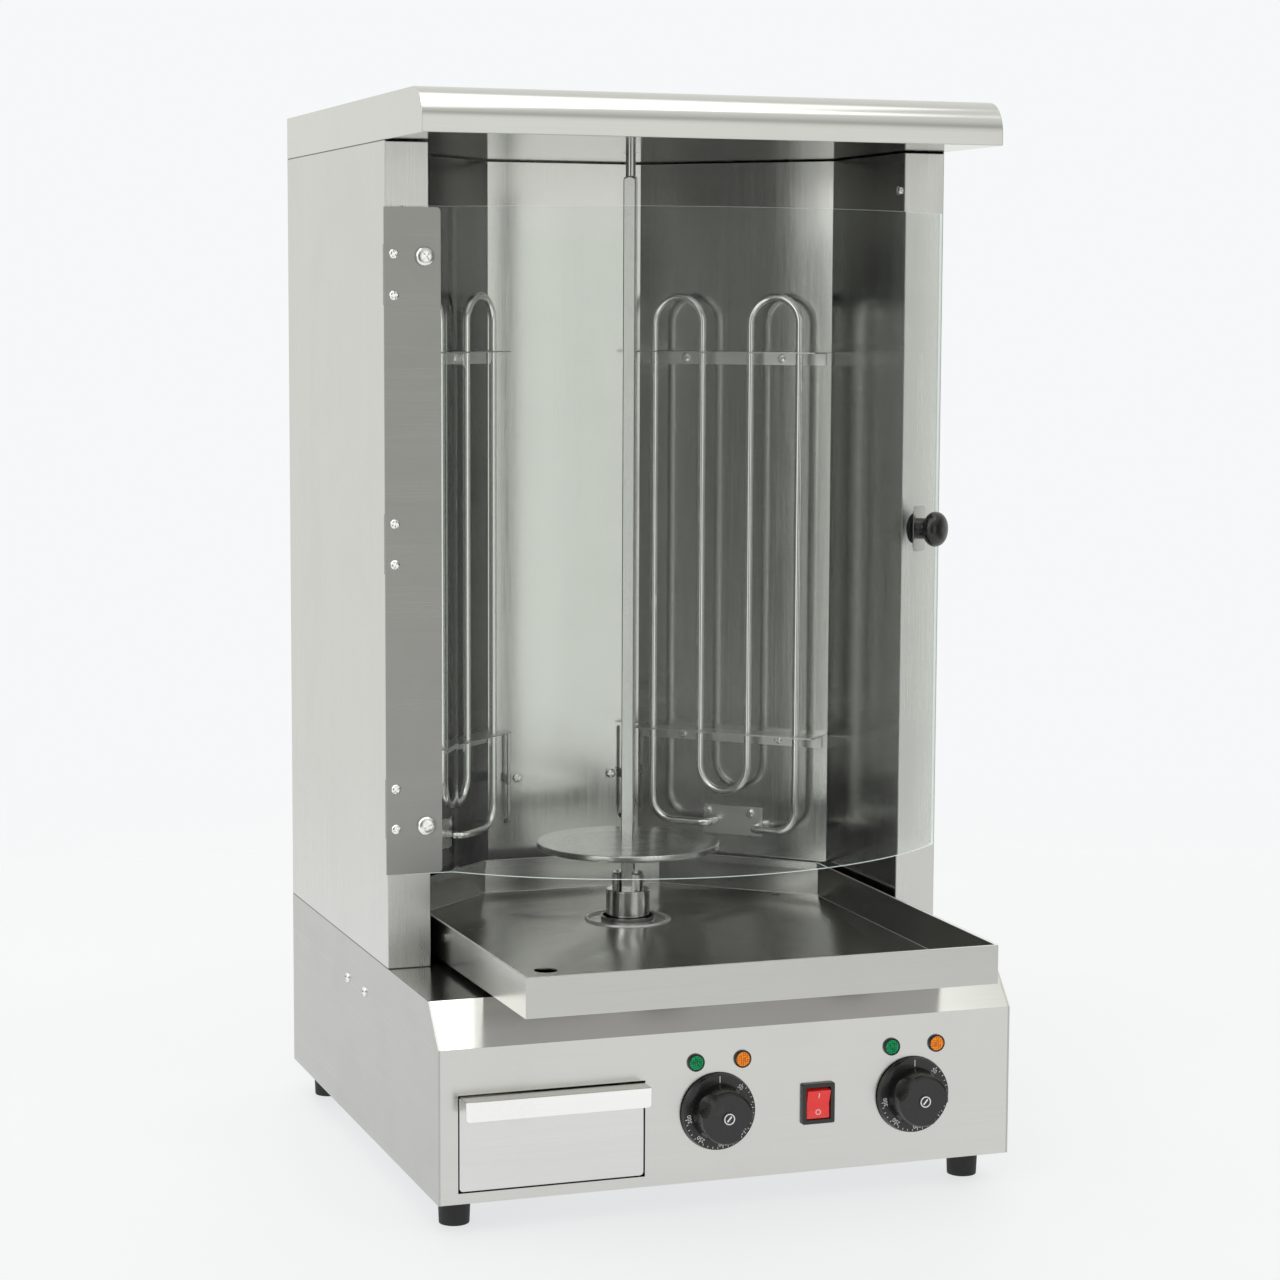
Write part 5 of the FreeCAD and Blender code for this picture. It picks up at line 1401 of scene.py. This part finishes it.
@dataclass
class Heaters:
    """The two sheathed elements, bent into three turns, in millimetres.

    Each follows its heater panel: along it from the panel's front edge at panel_start, off it
    by stand_off, and up from the deck. Its ends go back through the panel near the deck.
    """

    tube_radius: float = 3.2
    pitch: float = 45.0
    stand_off: float = 17.0
    top: float = 520.7
    loop: float = 89.5
    end_height: float = 64.0
    outer_drop: float = 3.0
    end_inner: float = -14.0
    end_outer: float = 26.0
    tail: float = 14.0
    end_bend: float = 20.0
    turn_in: float = 9.0
    bend_room: float = 0.02
    deck: float = 171.0
    panel_start: tuple = (69.0, 210.0)
    panel_middle: float = 89.8
    plate_bevel: float = 0.2

    def build(self) -> None:
        """Makes the tubes, brackets and terminal plates."""
        tubes = [self.tube(side) for side in (-1, 1)]
        settle(piece_from("heaters_finished", tubes, HEATER_SHEATH), "chassis", "heater_sheath", "heaters")
        for node in ("heater_brackets", "terminal_plates"):
            dress(node, STRIP_STEEL, "chamber_stainless", self.plate_bevel)

    def at(self, side: int, along: float, off: float, height: float) -> Vector:
        """A point beside a heater panel, in metres.

        Args:
            side: -1 for the left panel, 1 for the right.
            along: how far along the panel.
            off: how far off it.
            height: how far above the floor.

        Returns:
            The point.
        """
        root = math.sqrt(0.5)
        x, y = self.panel_start
        return Vector((side * (x + along * root - off * root), y - along * root - off * root, height)) * MM

    def tube(self, side: int) -> bmesh.types.BMesh:
        """One element as a bent tube.

        Args:
            side: -1 for the left element, 1 for the right.

        Returns:
            The tube as a bmesh.
        """
        legs = [self.panel_middle + self.pitch * place for place in (-1.5, -0.5, 0.5, 1.5)]
        top = self.deck + self.top - self.tube_radius
        loop = self.deck + self.loop + self.tube_radius
        inner, inner_z = self.panel_middle + self.end_inner, self.deck + self.end_height
        outer, outer_z = self.panel_middle + self.end_outer, inner_z - self.outer_drop
        off, bend = self.stand_off, self.pitch / 2 - self.bend_room
        track = [(inner, -self.tail, inner_z, 0), (inner, off, inner_z, self.turn_in),
                 (legs[0], off, inner_z, self.end_bend), (legs[0], off, top, bend), (legs[1], off, top, bend),
                 (legs[1], off, loop, bend), (legs[2], off, loop, bend), (legs[2], off, top, bend),
                 (legs[3], off, top, bend), (legs[3], off, outer_z, self.end_bend),
                 (outer, off, outer_z, self.turn_in), (outer, -self.tail, outer_z, 0)]
        seed = bpy.data.meshes.new("heater_track")
        points = [self.at(side, along, away, height) for along, away, height, _ in track]
        seed.from_pydata(points, [(step, step + 1) for step in range(len(points) - 1)], [])
        bends = seed.attributes.new("bend", "FLOAT", "POINT")
        bends.data.foreach_set("value", [radius * MM for *_, radius in track])
        values = {"Tube Radius": self.tube_radius * MM, "Finish": HEATER_SHEATH.material()}
        holder = grown("heater_tube", seed, tube_tree(), values)
        work = bmesh.new()
        work.from_mesh(holder.data)
        bpy.data.objects.remove(holder)
        return work


@dataclass
class Door:
    """The bowed glass on its hinge plate, with hinges, screws and knob.

    A face of the glass is a ground edge where all its edges are sharper than rim_angle, it lies
    clear of the hinge plate, and it is larger than hole_area, in square metres, which the walls
    of the screw holes are not. Ground edges glow with a painted highlight.
    """

    plate_bevel: float = 0.3
    leaf_bevel: float = 0.15
    pin_bevel: float = 0.2
    knob_angle: float = math.radians(60)
    rim_angle: float = math.radians(60)
    pane_angle: float = math.radians(30)
    hole_area: float = 0.0001

    def build(self) -> None:
        """Makes the glass, the hinge side and the knob."""
        self.glaze()
        dress("hinge_plate", HINGE_STEEL, "hinge_stainless", self.plate_bevel)
        for node in ("hinge_leaves_door", "hinge_leaves_frame"):
            dress(node, HINGE_STEEL, "hinge_stainless", self.leaf_bevel)
        dress("hinge_pins", SPIT_STEEL, "polished_steel", self.pin_bevel)
        HINGE_SCREW.drive_in("hinge_screws", "chrome_screw")
        CLAMP_SCREW.drive_in("glass_screws", "chrome_screw")
        dress("door_knob", BLACK_PLASTIC, "black_plastic", 0, self.knob_angle)
        dress("knob_plate", SPIT_STEEL, "polished_steel", self.leaf_bevel)
        dress("knob_washer", BLACK_RUBBER, "black_rubber", self.pin_bevel)
        dress("knob_screw", SCREW_CHROME, "chrome_screw", self.pin_bevel)

    def glaze(self) -> None:
        """Makes the glass pane with ground edges, which glow with a painted highlight."""
        mesh = merged_mesh("door_glass", "door_glass_finished")
        for finish in (CLEAR_GLASS, GLOWING_GROUND_EDGE):
            mesh.materials.append(finish.material())
        plate_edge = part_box("hinge_plate")[1].x
        work = bmesh.new()
        work.from_mesh(mesh)
        for face in work.faces:
            crisp = all(edge.calc_face_angle(0.0) > self.rim_angle for edge in face.edges)
            clear = face.calc_center_median().x > plate_edge and face.calc_area() >= self.hole_area
            face.material_index = int(crisp and clear)
        work.to_mesh(mesh)
        work.free()
        smooth(mesh, self.pane_angle)
        settle(linked_object("door_glass_finished", mesh), "door", "clear_glass", "door_glass")


@dataclass
class SpitDrive:
    """The lift-out spit with its meat plate, the claw hub and the motor."""

    axis: tuple = (0.0, 0.0375)
    spit_bevel: float = 0.3
    plate_bevel: float = 0.4
    pin_bevel: float = 0.2

    def build(self) -> None:
        """Makes the spit, plate and hub, and finishes the drive."""
        dress("spit", SPIT_STEEL, "polished_steel", self.spit_bevel)
        dress("meat_plate", TurnedFinish("plate_steel", self.axis), "polished_steel", self.plate_bevel)
        dress("plate_pin", SPIT_STEEL, "polished_steel", self.pin_bevel)
        dress("drive_hub", HUB_CHROME, "polished_chrome", self.plate_bevel)
        coat_node("motor_shaft", SPIT_STEEL)
        coat_node("gear_motor", MOTOR_PAINT)


@dataclass
class DripTray:
    """The lift-out tray under the spit, in millimetres.

    Faces that slope between the two shares of upright are its rounded corners, which get the same
    near-white painted highlight as its rim.
    """

    bevel: float = 0.4
    corner: float = 2.0
    rim_depth: float = 0.5
    slope_from: float = 0.2
    slope_to: float = 0.98

    def build(self) -> None:
        """Makes the tray."""
        tray = dress("drip_tray", TRAY_STEEL, "tray_stainless", self.bevel, corner=self.corner).data
        # the rim and rounded corners get the near-white steel: a painted highlight
        tray.materials.append(RIM_HIGHLIGHT_STEEL.material())
        rim = max(vert.co.z for vert in tray.vertices) - self.rim_depth * MM
        for face in tray.polygons:
            rounded = self.slope_from < face.normal.z < self.slope_to
            face.material_index = int(rounded or face.center.z > rim)


# ---------------------------------------------------------------- studio
@dataclass(frozen=True)
class BrightPatch:
    """A soft bright patch of the room: its direction, where it starts and is full, and its light."""

    way: tuple
    start: float
    full: float
    light: float

    def seen(self, desk: Desk, way: Value) -> bpy.types.NodeSocket:
        """The patch's light for a direction.

        Args:
            desk: the desk on the world's tree.
            way: the direction looked in.

        Returns:
            The light there.
        """
        toward = desk.vector("DOT_PRODUCT", way, self.way).outputs["Value"]
        return desk.scaled(toward, self.start, self.full, 0.0, self.light)


@dataclass(frozen=True)
class SoftBox:
    """A square area lamp: its name, place and side in metres, and its power in watts."""

    name: str
    place: tuple
    side: float
    power: float
    aim: tuple = (0.0, 0.0, 0.3)

    def hang(self) -> None:
        """Makes the lamp and turns it to the object."""
        lamp = bpy.data.lights.new(self.name, "AREA")
        lamp.shape = "RECTANGLE"
        lamp.size = self.side
        lamp.size_y = self.side
        lamp.energy = self.power
        holder = linked_object(self.name, lamp)
        holder.location = self.place
        holder.rotation_mode = "QUATERNION"
        holder.rotation_quaternion = (Vector(self.aim) - Vector(self.place)).to_track_quat("-Z", "Y")


@dataclass
class Studio:
    """The pale floor, the soft light and the camera at the photograph's angle.

    The room that the steel reflects is white behind and above the object, and has a bright
    window in front, a strip of light at the left that reaches over all heights, and a lamp
    overhead. behind and above each hold a height on the y or z axis where the white starts and
    where it is full, and the light at both.
    """

    floor_radius: float = 6.0
    floor_near: float = 0.75
    floor_far: float = 2.2
    floor_glow: float = 3.0
    floor_tones: tuple = ((0.22, 0.221, 0.223), (0.226, 0.227, 0.229))
    floor_roughness: float = 0.6
    floor_shine: float = 0.2
    behind: tuple = (-0.2, 0.45, 0.0, 0.75)
    above: tuple = (0.1, 0.75, 0.0, 0.7)
    window: BrightPatch = BrightPatch(tuple(Vector((0.29, -0.957, 0.0)).normalized()), 0.88, 0.995, 0.85)
    strip: BrightPatch = BrightPatch((-0.8, -0.6, 0.0), 0.94, 0.992, 1.0)
    lamp: BrightPatch = BrightPatch((0.27, -0.42, 0.866), 0.984, 0.996, 2.4)
    least_light: float = 0.14
    most_light: float = 2.6
    room_tint: tuple = (0.985, 1.0, 0.955)
    backdrop: tuple = (0.925, 0.935, 0.945)
    boxes: tuple = (SoftBox("top_box", (-0.2, -0.5, 2.7), 2.2, 12.0),
                    SoftBox("left_box", (-2.6, -0.8, 1.5), 1.4, 6.0))
    camera_place: tuple = (-0.8135, -2.3092, 0.675)
    yaw: float = math.radians(19.33)
    pitch: float = math.radians(6.12)
    roll: float = math.radians(0.25)
    focal_pixels: float = 3055.3
    picture_width: float = 1280.0
    sensor: float = 36.0
    view_depth: float = 50.0

    def build(self) -> None:
        """Makes the floor, the world, the lamps and the camera."""
        self.lay_floor()
        self.light_world()
        for box in self.boxes:
            box.hang()
        self.set_camera()

    def lay_floor(self) -> None:
        """Makes a pale floor that fades into the backdrop away from the object."""
        work = bmesh.new()
        bmesh.ops.create_circle(work, cap_ends=True, segments=96, radius=self.floor_radius)
        mesh = bpy.data.meshes.new("studio_floor")
        work.to_mesh(mesh)
        work.free()
        material, desk, shader, place = blank_material("floor_paper")
        paper = desk.noise(place, 3.0, 3.0)
        tone = desk.tinted(paper, *(shade(colour) for colour in self.floor_tones))
        desk.feed_all(shader, {
            "Base Color": tone, "Emission Color": tone, "Emission Strength": self.floor_glow,
            "Roughness": self.floor_roughness, "Specular IOR Level": self.floor_shine})
        fade = desk.scaled(desk.vector("LENGTH", place).outputs["Value"], self.floor_near, self.floor_far)
        clear = desk.add("ShaderNodeBsdfTransparent").outputs[0]
        blend = desk.add("ShaderNodeMixShader", {0: fade, 1: shader.outputs[0], 2: clear})
        desk.feed(material.node_tree.nodes["Material Output"].inputs["Surface"], blend.outputs[0])
        mesh.materials.append(material)
        linked_object("studio_floor", mesh)

    def light_world(self) -> None:
        """Makes the room that reflections see, and the white that the camera sees, also through glass."""
        world = bpy.data.worlds.new("studio")
        bpy.context.scene.world = world
        world.use_nodes = True
        world.node_tree.nodes.clear()
        desk = Desk(world.node_tree)
        way = desk.add("ShaderNodeTexCoord").outputs["Generated"]
        parts = desk.parts(way)
        walls = desk.sum("MAXIMUM", desk.scaled(parts[1], *self.behind), desk.scaled(parts[2], *self.above))
        level = desk.vector("NORMALIZE", desk.vector("MULTIPLY", way, (1.0, 1.0, 0.0)).outputs[0]).outputs[0]
        glare = desk.total(self.window.seen(desk, way), self.strip.seen(desk, level), self.least_light)
        light = desk.sum("MINIMUM", desk.total(walls, glare, self.lamp.seen(desk, way)), self.most_light)
        tone = desk.add("ShaderNodeMix", {0: 1.0, 6: shade(self.room_tint), 7: light}, data_type="RGBA",
                        blend_type="MULTIPLY").outputs[2]
        room = desk.add("ShaderNodeBackground", {"Color": tone, "Strength": 1.0}).outputs[0]
        white = desk.add("ShaderNodeBackground", {"Color": shade(self.backdrop), "Strength": 1.0}).outputs[0]
        path = desk.add("ShaderNodeLightPath").outputs
        bounces = desk.total(path["Glossy Depth"], path["Diffuse Depth"])
        through_glass = desk.sum("SUBTRACT", path["Is Transmission Ray"], bounces)
        seen = desk.sum("MAXIMUM", path["Is Camera Ray"], through_glass)
        blend = desk.add("ShaderNodeMixShader", {0: seen, 1: room, 2: white}).outputs[0]
        desk.add("ShaderNodeOutputWorld", {"Surface": blend})

    def set_camera(self) -> None:
        """Sets the camera where the photograph was taken."""
        lens = bpy.data.cameras.new("photo_camera")
        lens.sensor_width = self.sensor
        lens.lens = self.focal_pixels / self.picture_width * self.sensor
        lens.clip_end = self.view_depth
        camera = linked_object("photo_camera", lens)
        camera.location = self.camera_place
        flat = math.cos(self.pitch)
        way = Vector((math.sin(self.yaw) * flat, math.cos(self.yaw) * flat, -math.sin(self.pitch)))
        camera.rotation_mode = "QUATERNION"
        camera.rotation_quaternion = way.to_track_quat("-Z", "Y") @ Quaternion((0, 0, 1), self.roll)
        bpy.context.scene.camera = camera
        bpy.context.scene.view_settings.view_transform = "Standard"


def main() -> None:
    """Builds the studio and each sub-assembly in order."""
    logging.basicConfig(level=logging.INFO, format="%(message)s")
    for assembly in (Studio(), BaseCabinet(), Drawer(), Controls(), Housing(), Chamber(), Heaters(), Door(),
                     SpitDrive(), DripTray(), BaseInside()):
        LOG.info("building %s", type(assembly).__name__)
        assembly.build()


if __name__ == "__main__":
    main()
